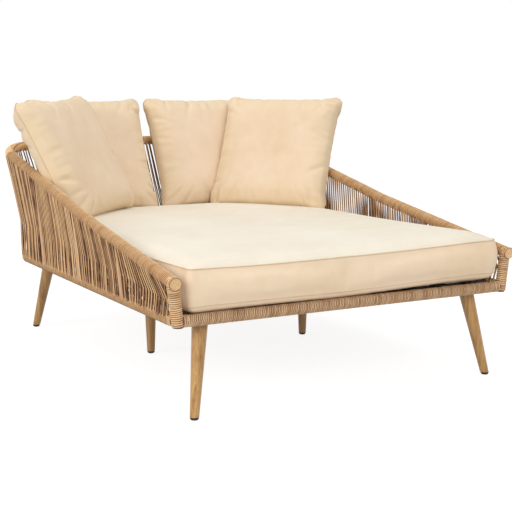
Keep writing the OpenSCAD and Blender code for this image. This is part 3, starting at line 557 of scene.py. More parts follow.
def strand_tree():
    """Upright strands from a foot over a middle point to a top point, evenly spread along the guide."""
    net = Growth("upright_strands", {"Count": 20, "Strand radius": STRAND_R, "Play": STRAND_PLAY})

    def read(name, kind="FLOAT_VECTOR"):
        return net.geo("InputNamedAttribute", {"Name": name}, "Attribute", data_type=kind)

    def between(share, a, b):
        return net.add("ShaderNodeMix", {0: share, 4: a, 5: b}, 1, data_type="VECTOR", factor_mode="UNIFORM")

    spaced = net.spaced("Count", "COUNT")
    spaced = net.store(spaced, "foot", net.geo("InputPosition"), kind="FLOAT_VECTOR")
    spaced = net.store(spaced, "shade", net.random(0.0, 1.0))
    play = net.give["Play"]
    low = net.calc("MULTIPLY", play, -1.0)
    jitter = net.random(net.point(low, low, 0.0), net.point(play, play, 0.0), "FLOAT_VECTOR")
    spaced = net.store(spaced, "jitter", jitter, kind="FLOAT_VECTOR")
    straight = net.geo("CurvePrimitiveLine", {"Start": (0.0, 0.0, 0.0), "End": (0.0, 0.0, 1.0)})
    straight = net.geo("ResampleCurve", {"Curve": straight, "Count": 13}, mode="COUNT")
    straight = net.share(straight, "along")
    strands = net.plain(net.geo("InstanceOnPoints", {"Points": spaced, "Instance": straight}))

    along = read("along", "FLOAT")
    place = between(net.spread(along, 0.0, 0.5), read("foot"), read("middle"))
    place = between(net.spread(along, 0.5, 1.0), place, read("top"))
    arc = net.calc("SINE", net.calc("MULTIPLY", along, math.pi * 2))
    wobble = net.add("ShaderNodeVectorMath", {0: read("jitter"), "Scale": arc}, operation="SCALE")
    place = net.vectors("ADD", net.vectors("ADD", place, wobble), read("jitter"))
    bent = net.geo("SetPosition", {"Geometry": strands, "Position": place})
    section = net.geo("CurvePrimitiveCircle", {"Resolution": 7, "Radius": net.give["Strand radius"]})
    solid = net.plain(net.sweep(bent, section))
    # Painted shade: the more a face turns against its layer's way out, into the gap between the layers, the
    # higher the value the cane finish darkens by
    facing = net.add("ShaderNodeVectorMath", {0: net.geo("InputNormal"), 1: read("out")},
                     "Value", operation="DOT_PRODUCT")
    solid = net.store(solid, "cavity", net.calc("MULTIPLY_ADD", facing, -0.5, 0.5))
    for spare in ("foot", "middle", "top", "jitter", "out"):
        solid = net.geo("RemoveAttribute", {"Geometry": solid, "Name": spare})
    return net.end_with(solid)


cane_winding = winding_tree()
upright_strands = strand_tree()


# Wound rails

FULL_SPIN = 3.1
STARTS = 4
POST_BELOW = 0.011
POST_SHORT = 0.002
BEND_HALF = 0.03
BOTH_ENDS = (True, True)
FRONT_END = (True, False)
NO_END = (False, False)


def arc_points(centre, radius, end, count):
    """Points on an arc that starts straight to the right of its centre."""
    x, y = centre
    return [(x + radius * math.cos(a), y + radius * math.sin(a)) for a in steps(0, end, count)]


def ring_front():
    return [Vector((end * (RING_W - WOUND_R), -RING_D, RING_Z)) for end in (-1, 1)]


def ring_side(side):
    return [Vector((side * RING_W, y, RING_Z)) for y in (-RING_D + WOUND_R, RING_D - RING_CORNER)]


def ring_back():
    right = arc_points((RING_W - RING_CORNER, RING_D - RING_CORNER), RING_CORNER, math.pi / 2, 12)
    left = [(-x, y) for x, y in reversed(right)]
    return [Vector((x, y, RING_Z)) for x, y in right + left]


def post_line(side):
    head = Vector((side * TOP_W, -RING_D, TOP_FRONT_Z))
    foot = Vector((side * RING_W, -RING_D, RING_Z))
    rise = (head - foot) / (TOP_FRONT_Z - RING_Z)
    return [foot - rise * POST_BELOW, head - rise * POST_SHORT]


def arm_line(side):
    """From the front end over the bend to the back corner."""
    front, before, after = ARM_FRONT_Y + 0.003, BEND_Y - BEND_HALF, BEND_Y + BEND_HALF
    places = [(front, arm_z(front)), (before, arm_z(before)), (BEND_Y, BEND_Z - 0.0003),
              (after, arm_z(after)), (ARM_END_Y, arm_z(ARM_END_Y))]
    return [Vector((side * TOP_W, y, z)) for y, z in places]


def back_line():
    right = arc_points((CORNER_X, CORNER_V), TOP_CORNER, CORNER_TURN, 14)
    middle = [(x, bow_at(x)) for x in steps(BOW_EDGE, -BOW_EDGE, 24)]
    left = [(-x, v) for x, v in reversed(right)]
    return [back_point(x, v) for x, v in right[:-1] + middle + left[1:]]


def trimmed(points, start, end):
    """The polyline without a length at its start and at its end, and the two lengths cut off."""
    def cut(path, length):
        head = [path[0]]
        for a, b in zip(path, path[1:]):
            step = (b - a).length
            if length < step:
                spot = a.lerp(b, length / step)
                return head + [spot], [spot] + path[path.index(b):]
            length -= step
            head.append(b)
        return head, path[-1:]

    first, rest = cut(points, start) if start else ([], points)
    last, rest = cut(rest[::-1], end) if end else ([], rest)
    return first, rest[::-1] if end else rest, last


def wind(name, points, node, seed, starts=0, level=NO_END, pitch=PITCH, finish=wound_cane):
    """Cane wound in so many starts, with level turns at the ends that need them."""
    rise = pitch * starts
    cuts = [rise / 2 + 0.001 if on else 0 for on in level]
    start, middle, end = trimmed([p + SHIFT for p in points], *cuts)
    spin = 0.0 if starts else FULL_SPIN
    pieces = [grow(guide_of(name + "_guide", middle), cane_winding, name, pitch=pitch,
                   cane_width=pitch * CANE_SHARE, rise=rise, seed=seed, spin=spin, finish=finish)]
    for index, path in enumerate((start, end)):
        if path:
            pieces.append(grow(guide_of(f"{name}_end_{index}", path), cane_winding, f"{name}_{index}",
                               seed=seed + index, spin=FULL_SPIN, finish=finish))
    made = joined(name, pieces)
    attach(made, "frame")
    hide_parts(node)


wind("cane_ring_front", ring_front(), "wind_ring_front", 11, STARTS, BOTH_ENDS, finish=front_cane)
wind("cane_ring_back", ring_back(), "wind_ring_back", 14, STARTS)
wind("cane_back", back_line(), "wind_top_back", 19, STARTS)
for index, (hand, side) in enumerate((("left", -1), ("right", 1))):
    wind(f"cane_ring_{hand}", ring_side(side), f"wind_ring_{hand}", 12 + index, STARTS, FRONT_END, SIDE_PITCH)
    wind(f"cane_post_{hand}", post_line(side), f"wind_post_{hand}", 15 + index, finish=post_cane)
    wind(f"cane_arm_{hand}", arm_line(side), f"wind_top_{hand}", 17 + index, STARTS, FRONT_END, SIDE_PITCH)


# Woven panels, with out as +1 for the outer layer and -1 for the inner

RAIL_OUT = 0.0160
MID_OUT = 0.0095
FOOT_UP = Vector((0, 0, 0.006))
STRAND_PITCH = 0.0160
FRONT_PITCH = 0.0195
POST_GAP = 0.005
END_GAP = 0.001
CORNER_IN = 0.020


def mid_corner(angle):
    y = MID_TURN_Y + MID_CORNER * math.sin(angle)
    return Vector((MID_W - MID_CORNER + MID_CORNER * math.cos(angle), y, mid_z(y)))


def station(foot, middle, top, way, top_way, out):
    """A strand's foot, middle and top, moved from the middle lines of the rails out to its layer."""
    return (foot + way * out * RAIL_OUT + FOOT_UP, middle + way * out * MID_OUT,
            top + top_way * out * RAIL_OUT - FOOT_UP)


def side_station(foot_y, middle_y, top_y, out):
    if middle_y > MID_TURN_Y:
        middle = mid_corner(math.asin((middle_y - MID_TURN_Y) / MID_CORNER))
    else:
        middle = Vector((MID_W, middle_y, mid_z(middle_y)))
    foot, top = Vector((RING_W, foot_y, RING_Z)), Vector((TOP_W, top_y, arm_z(top_y)))
    way = Vector((1, 0, 0))
    return station(foot, middle, top, way, way, out)


def side_bays(out):
    """The four bays of the right side, between the post, the three ribs and the back corner."""
    start = -RING_D + WOUND_R + POST_GAP
    slant, swing, back = (0.045, 0.012, 0.015) if out > 0 else (0.020, -0.006, 0.0)
    edges = [(start + back, start, start + slant)]
    for k in (-1, 0, 1):
        edges += [[y - RIB_HALF for y in rib_at(k)], [y + RIB_HALF for y in rib_at(k)]]
    edges.append((RING_D - RING_CORNER - END_GAP, MID_TURN_Y + CORNER_IN, ARM_END_Y - END_GAP))
    bays = []
    for first, last in zip(edges[::2], edges[1::2]):
        stations = []
        for t in steps(0, 1, 12):
            foot, middle, top = [mix(a, b, t) for a, b in zip(first, last)]
            stations.append(side_station(foot, middle - swing * math.sin(math.pi * t), top, out))
        bays.append(stations)
    return bays


def corner_station(t, out):
    quarter = math.pi / 2 * t
    ring = Vector((RING_W - RING_CORNER + RING_CORNER * math.cos(quarter),
                   RING_D - RING_CORNER + RING_CORNER * math.sin(quarter), RING_Z))
    ring_way = Vector((math.cos(quarter), math.sin(quarter), 0))
    middle = mid_corner(mix(math.asin(CORNER_IN / MID_CORNER), math.pi / 2, t))
    turn = CORNER_TURN * t
    top = back_point(CORNER_X + TOP_CORNER * math.cos(turn), CORNER_V + TOP_CORNER * math.sin(turn))
    top_way = Vector((math.cos(turn), math.sin(turn), 0))
    return station(ring, middle, top, ring_way, top_way, out)


def back_station(foot_x, middle_x, top_x, out):
    v = bow_at(top_x)
    foot, middle = Vector((foot_x, RING_D, RING_Z)), Vector((middle_x, MID_BACK_Y, mid_z(MID_BACK_Y)))
    top_way = Vector((top_x / BOW_R, (v - BOW_V) / BOW_R, 0))
    return station(foot, middle, back_point(top_x, v), Vector((0, 1, 0)), top_way, out)


def mirrored(stations):
    return [tuple(Vector((-p.x, p.y, p.z)) for p in station) for station in stations]


def back_bays(out):
    """The right corner with its part of the back, the bay between the ribs, and the left corner."""
    corner = [corner_station(t, out) for t in steps(0.04, 1, 16)]
    near = RIB_BACK_X + RIB_HALF
    far = RIB_BACK_X - RIB_HALF
    for t in steps(0, 1, 8)[1:]:
        corner.append(back_station(mix(RING_W - RING_CORNER, near, t),
                                   mix(MID_W - MID_CORNER, near, t), mix(BOW_EDGE, near, t), out))
    between = [back_station(x, x, x, out) for x in steps(far, -far, 8)]
    return [corner, between, mirrored(corner)]


def panel(name, bays, node, seed, pitches, out):
    """The strands of one layer. The last pitch holds for every bay after it too."""
    pieces = []
    for index, stations in enumerate(bays):
        stations = [[p + SHIFT for p in station] for station in stations]
        reach = 0.0
        for a, b in zip(stations, stations[1:]):
            reach += ((b[0] - a[0]).length + (b[2] - a[2]).length) / 2
        feet, middles, tops = zip(*stations)
        # The way out of each middle point, which the strand tree turns into painted shade in the gap between
        # the layers
        away = []
        for before, here, after in zip(middles[:1] + middles, middles, middles[1:] + middles[-1:]):
            way = (after - before).cross(Vector((0, 0, 1))).normalized()
            if way.dot(here - Vector((0, SHIFT.y, 0))) < 0:
                way = -way
            away.append(way * out)
        guide = guide_of(f"{name}_guide_{index}", feet, {"middle": middles, "top": tops, "out": away})
        pitch = pitches[min(index, len(pitches) - 1)]
        pieces.append(grow(guide, upright_strands, f"{name}_{index}",
                           count=round(reach / pitch) + 1, seed=seed + index, finish=strand_cane))
    made = joined(name, pieces)
    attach(made, "frame")
    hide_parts(node)


for place, first_seed in (("right", 31), ("left", 51), ("back", 71)):
    for layer, out, seed in (("outer", 1, first_seed), ("inner", -1, first_seed + 10)):
        bays = back_bays(out) if place == "back" else side_bays(out)
        if place == "left":
            bays = [mirrored(stations) for stations in bays]
        pitches = (STRAND_PITCH,) if place == "back" or out < 0 else (FRONT_PITCH, STRAND_PITCH)
        panel(f"strands_{place}_{layer}", bays, f"weave_{place}_{layer}", seed, pitches, out)


# End discs

DISC_R = 0.0190
DISC_PITCH = 0.0036
DISC_SLANT = math.radians(-54)
DISC_DOME = 0.0016
DISC_LIFT = 0.0026
ROW_WIDE = 0.0016
ROW_THICK = 0.0014
DISC_RIM = [(0.0005, 0.0004), (0.0188, 0.0004), (0.0198, 0.0012), (0.0200, 0.0028),
            (0.0196, 0.0040), (0.0186, 0.0040), (0.0182, 0.0022), (0.0005, 0.0022)]
RIM_SIDES = 40


def end_disc(side, seed):
    """A round cap of parallel canes laid at a slant across the end of an arm, in a turned rim."""
    dice = random.Random(seed)
    centre = Vector((side * TOP_W, ARM_FRONT_Y, arm_z(ARM_FRONT_Y))) + SHIFT
    out = Vector((0, -math.cos(ARM_SLOPE), -math.sin(ARM_SLOPE)))
    right = Vector((1, 0, 0))
    up = right.cross(out)
    run = right * math.cos(DISC_SLANT) + up * math.sin(DISC_SLANT)
    step = -right * math.sin(DISC_SLANT) + up * math.cos(DISC_SLANT)
    verts, marks, faces = [], [], []

    rows = int(DISC_R / DISC_PITCH)
    for offset in [row * DISC_PITCH for row in range(-rows, rows + 1)]:
        half = math.sqrt(max(DISC_R ** 2 - offset ** 2, 0.0)) - 0.0006
        if half < 0.003:
            continue
        shade = 0.5 + dice.random() * 0.5
        loft(faces, len(verts), 9, 8)
        for i in range(9):
            s = mix(-half, half, i / 8)
            dome = DISC_DOME * (1 - (s * s + offset * offset) / DISC_R ** 2)
            for j in range(8):
                a = math.pi * 2 * j / 8
                spot = centre + run * s + step * (offset + ROW_WIDE * math.cos(a))
                verts.append(spot + out * (DISC_LIFT + dome + ROW_THICK * math.sin(a)))
                # The across values put the painted flank shade on the sides where the rows meet
                marks.append((i / 8, (j / 8 + 0.25) % 1.0, shade))

    loft(faces, len(verts), len(DISC_RIM), RIM_SIDES)
    for reach, lift in DISC_RIM:
        for j in range(RIM_SIDES):
            a = math.pi * 2 * j / RIM_SIDES
            verts.append(centre + (right * math.cos(a) + up * math.sin(a)) * reach + out * lift)
            # The rim takes the darkest tone and the full painted flank shade of the cane finish
            marks.append((j / RIM_SIDES, 0.25, 0.0))

    name = "disc_left" if side < 0 else "disc_right"
    made = solid_of(name, verts, faces, wound_cane)
    fix_normals(made)
    for key, values in zip(("along", "across", "shade"), zip(*marks)):
        made.data.attributes.new(key, "FLOAT", "POINT").data.foreach_set("value", values)
    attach(made, "frame")
    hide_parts("end_" + name)


end_disc(-1, 5)
end_disc(1, 6)


# Cushions


def eased(t):
    t = max(0.0, min(1.0, t))
    return t * t * (3 - 2 * t)


def rounded(u, v, half_w, half_d, corner):
    """A point of the square outline (u or v is 1) moved onto a rectangle with round corners."""
    x, y = half_w * u, half_d * v
    cx = max(-(half_w - corner), min(half_w - corner, x))
    cy = max(-(half_d - corner), min(half_d - corner, y))
    way = Vector((x - cx, y - cy))
    if abs(x) > half_w - corner and abs(y) > half_d - corner and way.length > 0:
        way = way.normalized() * corner
    return Vector((cx, cy)) + way


def bag_mesh(name, grid, rows, place_top, place_side, place_bottom, finish, uv_size):
    """A closed bag: a top and a bottom panel on a grid, and a boxing strip between their edges."""
    nx, ny = grid
    width, depth, rise = uv_size
    verts, faces, uvs = [], [], []
    cells = [(i, j) for j in range(ny + 1) for i in range(nx + 1)]

    def put(place, i, j, *more):
        verts.append(place(2 * i / nx - 1, 2 * j / ny - 1, *more))
        return len(verts) - 1

    def cover(spots, turn):
        for a, b in cells:
            if a < nx and b < ny:
                corners = [(a + i, b + j) for i, j in turn]
                faces.append([spots[c] for c in corners])
                uvs.extend((i / nx * width, j / ny * depth) for i, j in corners)

    top = {(i, j): put(place_top, i, j) for i, j in cells}
    cover(top, ((0, 0), (1, 0), (1, 1), (0, 1)))
    rim = [(i, 0) for i in range(nx)] + [(nx, j) for j in range(ny)]
    rim += [(nx - i, ny) for i in range(nx)] + [(0, ny - j) for j in range(ny)]
    count = len(rim)
    loops = [[top[spot] for spot in rim]]
    for row in range(rows):
        above = loops[-1]
        below = [put(place_side, i, j, (row + 1) / rows) for i, j in rim]
        loops.append(below)
        for k in range(count):
            n = (k + 1) % count
            faces.append((above[k], below[k], below[n], above[n]))
            for i, j in ((0, 0), (0, 1), (1, 1), (1, 0)):
                uvs.append(((k + i) / count * 2 * (width + depth), (row + j) / rows * rise))
    bottom = dict(zip(rim, loops[-1]))
    for spot in cells:
        if spot not in bottom:
            bottom[spot] = put(place_bottom, *spot)
    cover(bottom, ((0, 0), (0, 1), (1, 1), (1, 0)))
    made = solid_of(name, verts, faces, finish)
    made.data.uv_layers.new(name="cloth").data.foreach_set("uv", [part for uv in uvs for part in uv])
    return made, loops


def puff(bag, pressure, cap, frames, bend, stretch):
    """Fills a bag with air for a few steps of cloth, no point moving further than the cap."""
    cloth = bag.modifiers.new("air", "CLOTH")
    settings = {
        "quality": 6, "mass": 0.3, "air_damping": 1.0, "tension_stiffness": stretch,
        "compression_stiffness": stretch, "shear_stiffness": stretch / 3, "bending_stiffness": bend,
        "use_pressure": True, "uniform_pressure_force": pressure
    }
    for name, value in settings.items():
        setattr(cloth.settings, name, value)
    cloth.settings.effector_weights.gravity = 0.0
    cloth.point_cache.frame_start = 1
    cloth.point_cache.frame_end = frames
    cloth.collision_settings.use_collision = False
    for step in range(1, frames + 1):
        bpy.context.scene.frame_set(step)
    swollen = bag.evaluated_get(bpy.context.evaluated_depsgraph_get())
    moved = [v.co.copy() for v in swollen.data.vertices]
    bag.modifiers.remove(cloth)
    bpy.context.scene.frame_set(1)
    for vert, there in zip(bag.data.vertices, moved):
        way = there - vert.co
        if way.length > cap:
            way *= cap / way.length
        vert.co += way


def seam_cord(name, piece, seam, radius, finish):
    """A thin closed welt along a seam of a piece."""
    points = [piece.data.vertices[i].co.copy() for i in seam]
    count, sides = len(points), 6
    verts, faces = [], []
    for k in range(count):
        n = (k + 1) % count
        ahead = (points[n] - points[k - 1]).normalized()
        side = ahead.orthogonal().normalized()
        if abs(ahead.z) < 0.9:
            side = ahead.cross(Vector((0, 0, 1))).normalized()
        lift = side.cross(ahead).normalized()
        for j in range(sides):
            a, m = math.pi * 2 * j / sides, (j + 1) % sides
            verts.append(points[k] + (side * math.cos(a) + lift * math.sin(a)) * radius)
            faces.append((k * sides + j, n * sides + j, n * sides + m, k * sides + m))
    made = solid_of(name, verts, faces, finish)
    fix_normals(made)
    layer = made.data.uv_layers.new(name="cloth")
    for loop in made.data.loops:
        k, j = divmod(loop.vertex_index, sides)
        layer.data[loop.index].uv = (k * 0.01, j * 0.002)
    return made


# Seat cushion

SEAT_W = 0.575
SEAT_FRONT = -0.750
SEAT_BACK = 0.733
SEAT_BASE = 0.3195
SEAT_CORNER = 0.016
SEAT_FRONT_RIGHT = 0.034
SEAT_RIGHT_MORE = 0.014
SEAT_LIFT = 0.012
SEAT_TUCK = 0.016
SEAT_EDGE = 0.05
SEAT_SWELL = 0.0045
SEAT_SWELL_RIGHT = 0.004
SEAT_CROWN = 0.026
SEAM_LOW = 0.339
SEAM_TOP = 0.452
SEAT_GRID = (78, 100)
SIDE_ROWS = 9
UNDER_ROWS = 3
SEAT_WELT = 0.0016

# Each fold is its place along the front, its width and its depth
SEAT_FOLDS = [(-0.03, 0.010, 0.0030), (0.08, 0.008, 0.0035), (0.30, 0.012, 0.0025), (-0.33, 0.012, 0.0025)]

# The share of the crown reached at a distance in from the seam
CROWN = [(0.0, 0.0), (0.003, 0.16), (0.012, 0.40), (0.030, 0.64), (0.060, 0.82),
         (0.120, 0.93), (0.200, 0.98), (0.400, 1.0)]


def crown_at(inset):
    for (a, low_rise), (b, high_rise) in zip(CROWN, CROWN[1:]):
        if inset <= b:
            return mix(low_rise, high_rise, max(0.0, inset - a) / (b - a))
    return 1.0


def seat_cushion():
    cy = (SEAT_FRONT + SEAT_BACK) / 2
    half_d = (SEAT_BACK - SEAT_FRONT) / 2
    base = SEAT_BASE + 0.0003

    def on_plan(u, v, more=0.0):
        m = max(abs(u), abs(v))
        if m < 1e-6:
            return Vector((0.0, 0.0))
        corner = SEAT_FRONT_RIGHT if u > 0 > v else SEAT_CORNER
        p = rounded(u / m, v / m, SEAT_W + more, half_d + more, corner) * m
        if p.x > 0:
            p.x *= 1 + SEAT_RIGHT_MORE / SEAT_W
        return p

    def set_down(x, y, z):
        """The cushion lies a little high at its front right corner."""
        lift = SEAT_LIFT * eased((x + 0.1) / (SEAT_W + 0.1)) * eased((y + cy) / SEAT_FRONT)
        return Vector((x, y + cy, z + lift)) + SHIFT

    def inset_of(p):
        """How far a point lies in from the nearest seam, blended at the corners."""
        a, b = SEAT_W - abs(p.x), half_d - abs(p.y)
        h = max(SEAT_EDGE - abs(a - b), 0.0) / SEAT_EDGE
        return min(a, b) - h * h * SEAT_EDGE * 0.25

    def top(u, v):
        p = on_plan(u, v)
        rise = 0.0 if max(abs(u), abs(v)) > 0.999 else crown_at(max(inset_of(p), 0.0))
        drift = noise.noise(Vector((p.x * 3.1, p.y * 2.7, 4.0))) * 0.0022 * min(1.0, rise * 1.4)
        return set_down(p.x, p.y, SEAM_TOP + SEAT_CROWN * rise + drift)

    def side(u, v, t):
        t *= (SIDE_ROWS + UNDER_ROWS) / SIDE_ROWS
        if t > 1.001:
            turn = (t - 1) * SIDE_ROWS / UNDER_ROWS * math.pi / 2
            p = on_plan(u, v, -SEAT_TUCK * (1 - math.cos(turn)))
            return set_down(p.x, p.y, mix(SEAM_LOW, base, math.sin(turn)))
        swell = math.sin(math.pi * t)
        p = on_plan(u, v, (SEAT_SWELL + SEAT_SWELL_RIGHT * eased((u - 0.8) / 0.2)) * swell)
        crease = noise.noise(Vector((p.x * 19 + p.y * 23, t * 0.7, 1.3))) * 0.0018 * swell
        p *= 1 + crease / 0.6
        if v < -0.999:
            for spot, width, depth in SEAT_FOLDS:
                p.y += depth * swell * math.exp(-((p.x - spot) / width) ** 2)
        return set_down(p.x, p.y, mix(SEAM_TOP, SEAM_LOW, t))

    def bottom(u, v):
        p = on_plan(u, v, -SEAT_TUCK)
        return set_down(p.x, p.y, base)

    made, loops = bag_mesh("seat_pad", SEAT_GRID, SIDE_ROWS + UNDER_ROWS, top, side, bottom, seat_cloth,
                           (2 * SEAT_W, 2 * half_d, SEAM_TOP - SEAT_BASE))
    # The boxing strip and the underside take the copy with painted shade
    made.data.materials.append(side_cloth)
    for face in made.data.polygons[SEAT_GRID[0] * SEAT_GRID[1]:]:
        face.material_index = 1
    puff(made, 0.8, 0.006, 14, bend=2.0, stretch=40.0)
    welts = [seam_cord(name, made, loops[row], SEAT_WELT, seam_thread)
             for name, row in (("welt_top", 0), ("welt_low", SIDE_ROWS))]
    subdivide(made)
    made = joined("seat_pad", [made] + welts)
    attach(made, "seat")
    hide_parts("seat_cushion")


seat_cushion()


# Pillows

PILLOW_T = 0.130
PILLOW_MOST = 0.140
PILLOW_CORNER = 0.033
PILLOW_DRAW = 0.012
PILLOW_STEPS = 72
PILLOW_WELT = 0.0013
SEAM_HALF = 0.001
CREASE_HALF = 0.0095
PUCKER_REACH = 0.035
DRAW_REACH = 0.045


def pillow(name, node, yaw, lean, seed, width, roll=0, aside=0.0, ahead=0.0):
    """A loose square pillow sewn from two panels, its corners full and its seams puckered.

    It is turned by angles in degrees and set in the middle of its node's box, or moved from there.
    """
    half = PILLOW / 2
    dice = random.Random(seed)
    creases = []
    for edge_index in range(4):
        for place in (-0.86, -0.62, -0.2, 0.25, 0.62, 0.86):
            creases.append((edge_index, place + dice.uniform(-0.1, 0.1), dice.uniform(-0.6, 0.6),
                            dice.uniform(0.035, 0.085), dice.uniform(0.008, 0.017), dice.choice((-1, -1, 1))))
    spots = []

    def drawn_in(from_corner):
        """How far a seam lies inside the square, at a distance from the corner."""
        past = max(0.0, from_corner - PILLOW_CORNER * 0.8)
        quick = 1 - math.exp(-(past / DRAW_REACH) ** 2)
        return PILLOW_DRAW * (0.75 * quick + 0.25 * eased(past / (half - PILLOW_CORNER)))

    def outline(u, v):
        m = max(abs(u), abs(v))
        if m < 1e-6:
            return Vector((0.0, half))
        rim = rounded(u / m, v / m, half + width, half, PILLOW_CORNER)
        drawn = Vector(rim)
        if abs(u) > abs(v):
            drawn.x -= math.copysign(drawn_in(half - abs(rim.y)), u)
        else:
            drawn.y -= math.copysign(drawn_in(half + width - abs(rim.x)), v)
        around = math.atan2(v, u)
        wave = noise.noise(Vector((math.cos(around) * 9, math.sin(around) * 9, seed))) * 0.0024 * m ** 6
        drawn *= m * (1 + wave / half)
        return Vector((drawn.x, drawn.y + half))

    def valley(u, v, way):
        """How deep the short creases that start at the seams are here."""
        deep = 0.0
        for edge_index, place, slope, length, depth, face in creases:
            if face == way:
                inside = (1 - (u, -u, v, -v)[edge_index]) * half
                run = ((v, v, u, u)[edge_index] - place) * half - slope * inside
                deep += depth * math.exp(-(run / CREASE_HALF) ** 2) * math.exp(-(inside / length) ** 2)
        return deep

    def sheet(u, v, way):
        p = outline(u, v)
        full = (max(0.0, 1 - u ** 6) * max(0.0, 1 - v ** 6)) ** 0.42
        near = math.exp(-(1 - max(abs(u), abs(v))) * half / PUCKER_REACH)
        upright = abs(u) > abs(v)
        pucker = noise.noise(Vector(((v if upright else u) * 11.0, seed + way, 3.0 if upright else 9.0)))
        soft = noise.noise(Vector((u * 1.9 + seed, v * 1.9, way * 7.0)))
        lift = PILLOW_T / 2 * full * (1 + 0.22 * pucker * near + 0.08 * soft)
        spots.append((u, v, way, min(1.0, full * 1.4)))
        return Vector((p.x, way * (SEAM_HALF + max(0.0, lift)), p.y))

    def seam(u, v, t):
        p = outline(u, v)
        spots.append((u, v, 0, 0.0))
        return Vector((p.x, SEAM_HALF, p.y))

    made, loops = bag_mesh(name, (PILLOW_STEPS, PILLOW_STEPS), 1, lambda u, v: sheet(u, v, -1.0), seam,
                           lambda u, v: sheet(u, v, 1.0), pillow_cloth, (PILLOW, PILLOW, 0.004))
    puff(made, 4.0, 0.008, 20, bend=0.4, stretch=15.0)
    for vert, (u, v, way, share) in zip(made.data.vertices, spots):
        if way:
            vert.co.y -= way * valley(u, v, way) * share
    box_low, box_high = extent(made)
    span = box_high - box_low
    middle = (box_low + box_high) / 2
    for vert in made.data.vertices:
        p = vert.co - middle
        vert.co = Vector((p.x * (PILLOW + 2 * width) / span.x, p.y * min(1.0, PILLOW_MOST / span.y),
                          p.z * PILLOW / span.z + PILLOW / 2))
    welt = seam_cord(name + "_welt", made, loops[0], PILLOW_WELT, pillow_seam)
    subdivide(made)
    made = joined(name, [made, welt])
    for angle, axis in ((roll, "Y"), (-lean, "X"), (yaw, "Z")):
        made.data.transform(Matrix.Rotation(math.radians(angle), 4, axis))
    node_low, node_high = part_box(node)
    box_low, box_high = extent(made)
    shift = (node_low + node_high) / 2 - (box_low + box_high) / 2
    made.data.transform(Matrix.Translation(shift + Vector((aside, -ahead, 0))))
    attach(made, node + "_body")
    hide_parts(node)


pillow("pillow_a", "pillow_front_left", 40.7, 27, 3, 0.006, roll=-3)
pillow("pillow_b", "pillow_back_left", 0, 25, 8, 0.002, aside=-0.009, ahead=0.006)
pillow("pillow_c", "pillow_back_right", 0, 25, 14, 0.002, aside=0.009, ahead=0.006)
pillow("pillow_d", "pillow_front_right", -51.5, 26, 21, 0.008)


# Finishes of the pieces carried over


def dress(names, finish):
    for name in names:
        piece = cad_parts[name]
        piece.data.materials.clear()
        piece.data.materials.append(finish)


SIDES = ("left", "right")
LEG_PLACES = [f"{row}_{side}" for row in ("front", "middle", "back") for side in SIDES]
dress(["ring_front_tube", "ring_back_tube", "top_back_tube"]
      + [f"{rail}_{side}_tube" for rail in ("ring", "top") for side in SIDES]
      + [f"post_{side}" for side in SIDES], tube_brown)
dress(["mid_back_tube", "mid_left_tube", "mid_right_tube"], rib_cane)
dress(["ribs_left", "ribs_right", "ribs_back"], rib_cane)
dress(["cross_front", "cross_middle", "cross_back"], deck_steel)
dress(["deck_slats"], deck_steel)
dress(["leg_plates"], deck_steel)
dress(["leg_screws"], screw_zinc)
dress([f"leg_{place}" for place in LEG_PLACES], leg_grain)
dress([f"foot_{place}" for place in LEG_PLACES], cap_black)


# Studio

FLOOR_REACH = 14.0
WHITE = (1, 1, 1, 1)
SKY_LIGHT = 0.54
LAMP_AIM = Vector((0, 0, 0.35))
LAMPS = (("key", (-1.0, -4.8, 2.9), 2.2, 84.0),
         ("side", (-4.6, -0.6, 2.4), 2.4, 84.0),
         ("top", (0.6, 0.2, 4.6), 3.0, 56.0))


def seen_directly(net, kinds):
    """1 for the rays named, and 0 for the light that falls on the daybed."""
    rays = net.node("ShaderNodeLightPath").outputs
    seen, *more = [rays[f"Is {kind} Ray"] for kind in kinds]
    for ray in more:
        seen = net.calc("MAXIMUM", seen, ray)
    return seen


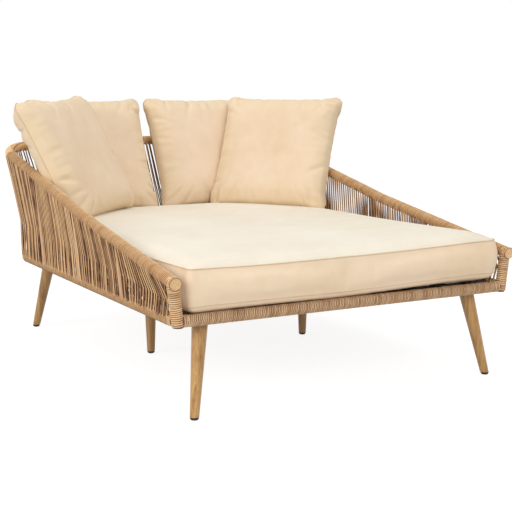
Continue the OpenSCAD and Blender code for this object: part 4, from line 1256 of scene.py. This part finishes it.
def pale_floor():
    corners = [(x * FLOOR_REACH, y * FLOOR_REACH, 0) for x, y in ((-1, -1), (1, -1), (1, 1), (-1, 1))]
    paint = Finish("studio_floor", 0.9, 0.0)
    glow = paint.add("ShaderNodeEmission", {"Color": WHITE, "Strength": 0.86})
    plain = paint.add("ShaderNodeBsdfDiffuse", {"Color": (0.66, 0.66, 0.66, 1)})
    pale = paint.add("ShaderNodeBsdfDiffuse", {"Color": (0.30, 0.30, 0.30, 1)})
    both = paint.add("ShaderNodeAddShader", {0: pale, 1: glow})
    seen = seen_directly(paint, ("Camera", "Glossy"))
    mixed = paint.add("ShaderNodeMixShader", {0: seen, 1: plain, 2: both})
    paint.tree.links.new(mixed, paint.out.inputs[0])
    paint.tree.nodes.remove(paint.shader)
    solid_of("floor", corners, [(0, 1, 2, 3)], paint.material)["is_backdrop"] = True


def soft_light():
    world = bpy.data.worlds.new("studio")
    bpy.context.scene.world = world
    world.use_nodes = True
    sky = Net(world.node_tree)
    sky.tree.nodes.clear()
    seen = seen_directly(sky, ("Camera", "Glossy", "Transmission"))
    level = sky.spread(seen, 0.0, 1.0, SKY_LIGHT, 1.0)
    back = sky.add("ShaderNodeBackground", {"Color": WHITE, "Strength": level})
    sky.node("ShaderNodeOutputWorld", {0: back})
    for name, place, size, power in LAMPS:
        lamp = bpy.data.lights.new(name, "AREA")
        lamp.shape = "SQUARE"
        lamp.size = size
        lamp.energy = power
        holder = placed(name, lamp)
        holder.location = place
        holder.rotation_euler = (LAMP_AIM - Vector(place)).to_track_quat("-Z", "Y").to_euler()


def photo_camera():
    azimuth, rise = math.radians(-28.88), math.radians(8.78)
    lens = bpy.data.cameras.new("photo_view")
    lens.lens = 79.92
    lens.sensor_width = 36.0
    holder = placed("photo_view", lens)
    holder.location = (-1.9705, -3.7957, 0.9978)
    holder.rotation_euler = Euler((math.pi / 2 - rise, 0.0, azimuth), "XYZ")
    bpy.context.scene.camera = holder


pale_floor()
soft_light()
photo_camera()
bpy.context.scene.view_settings.view_transform = "Standard"

low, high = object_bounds()
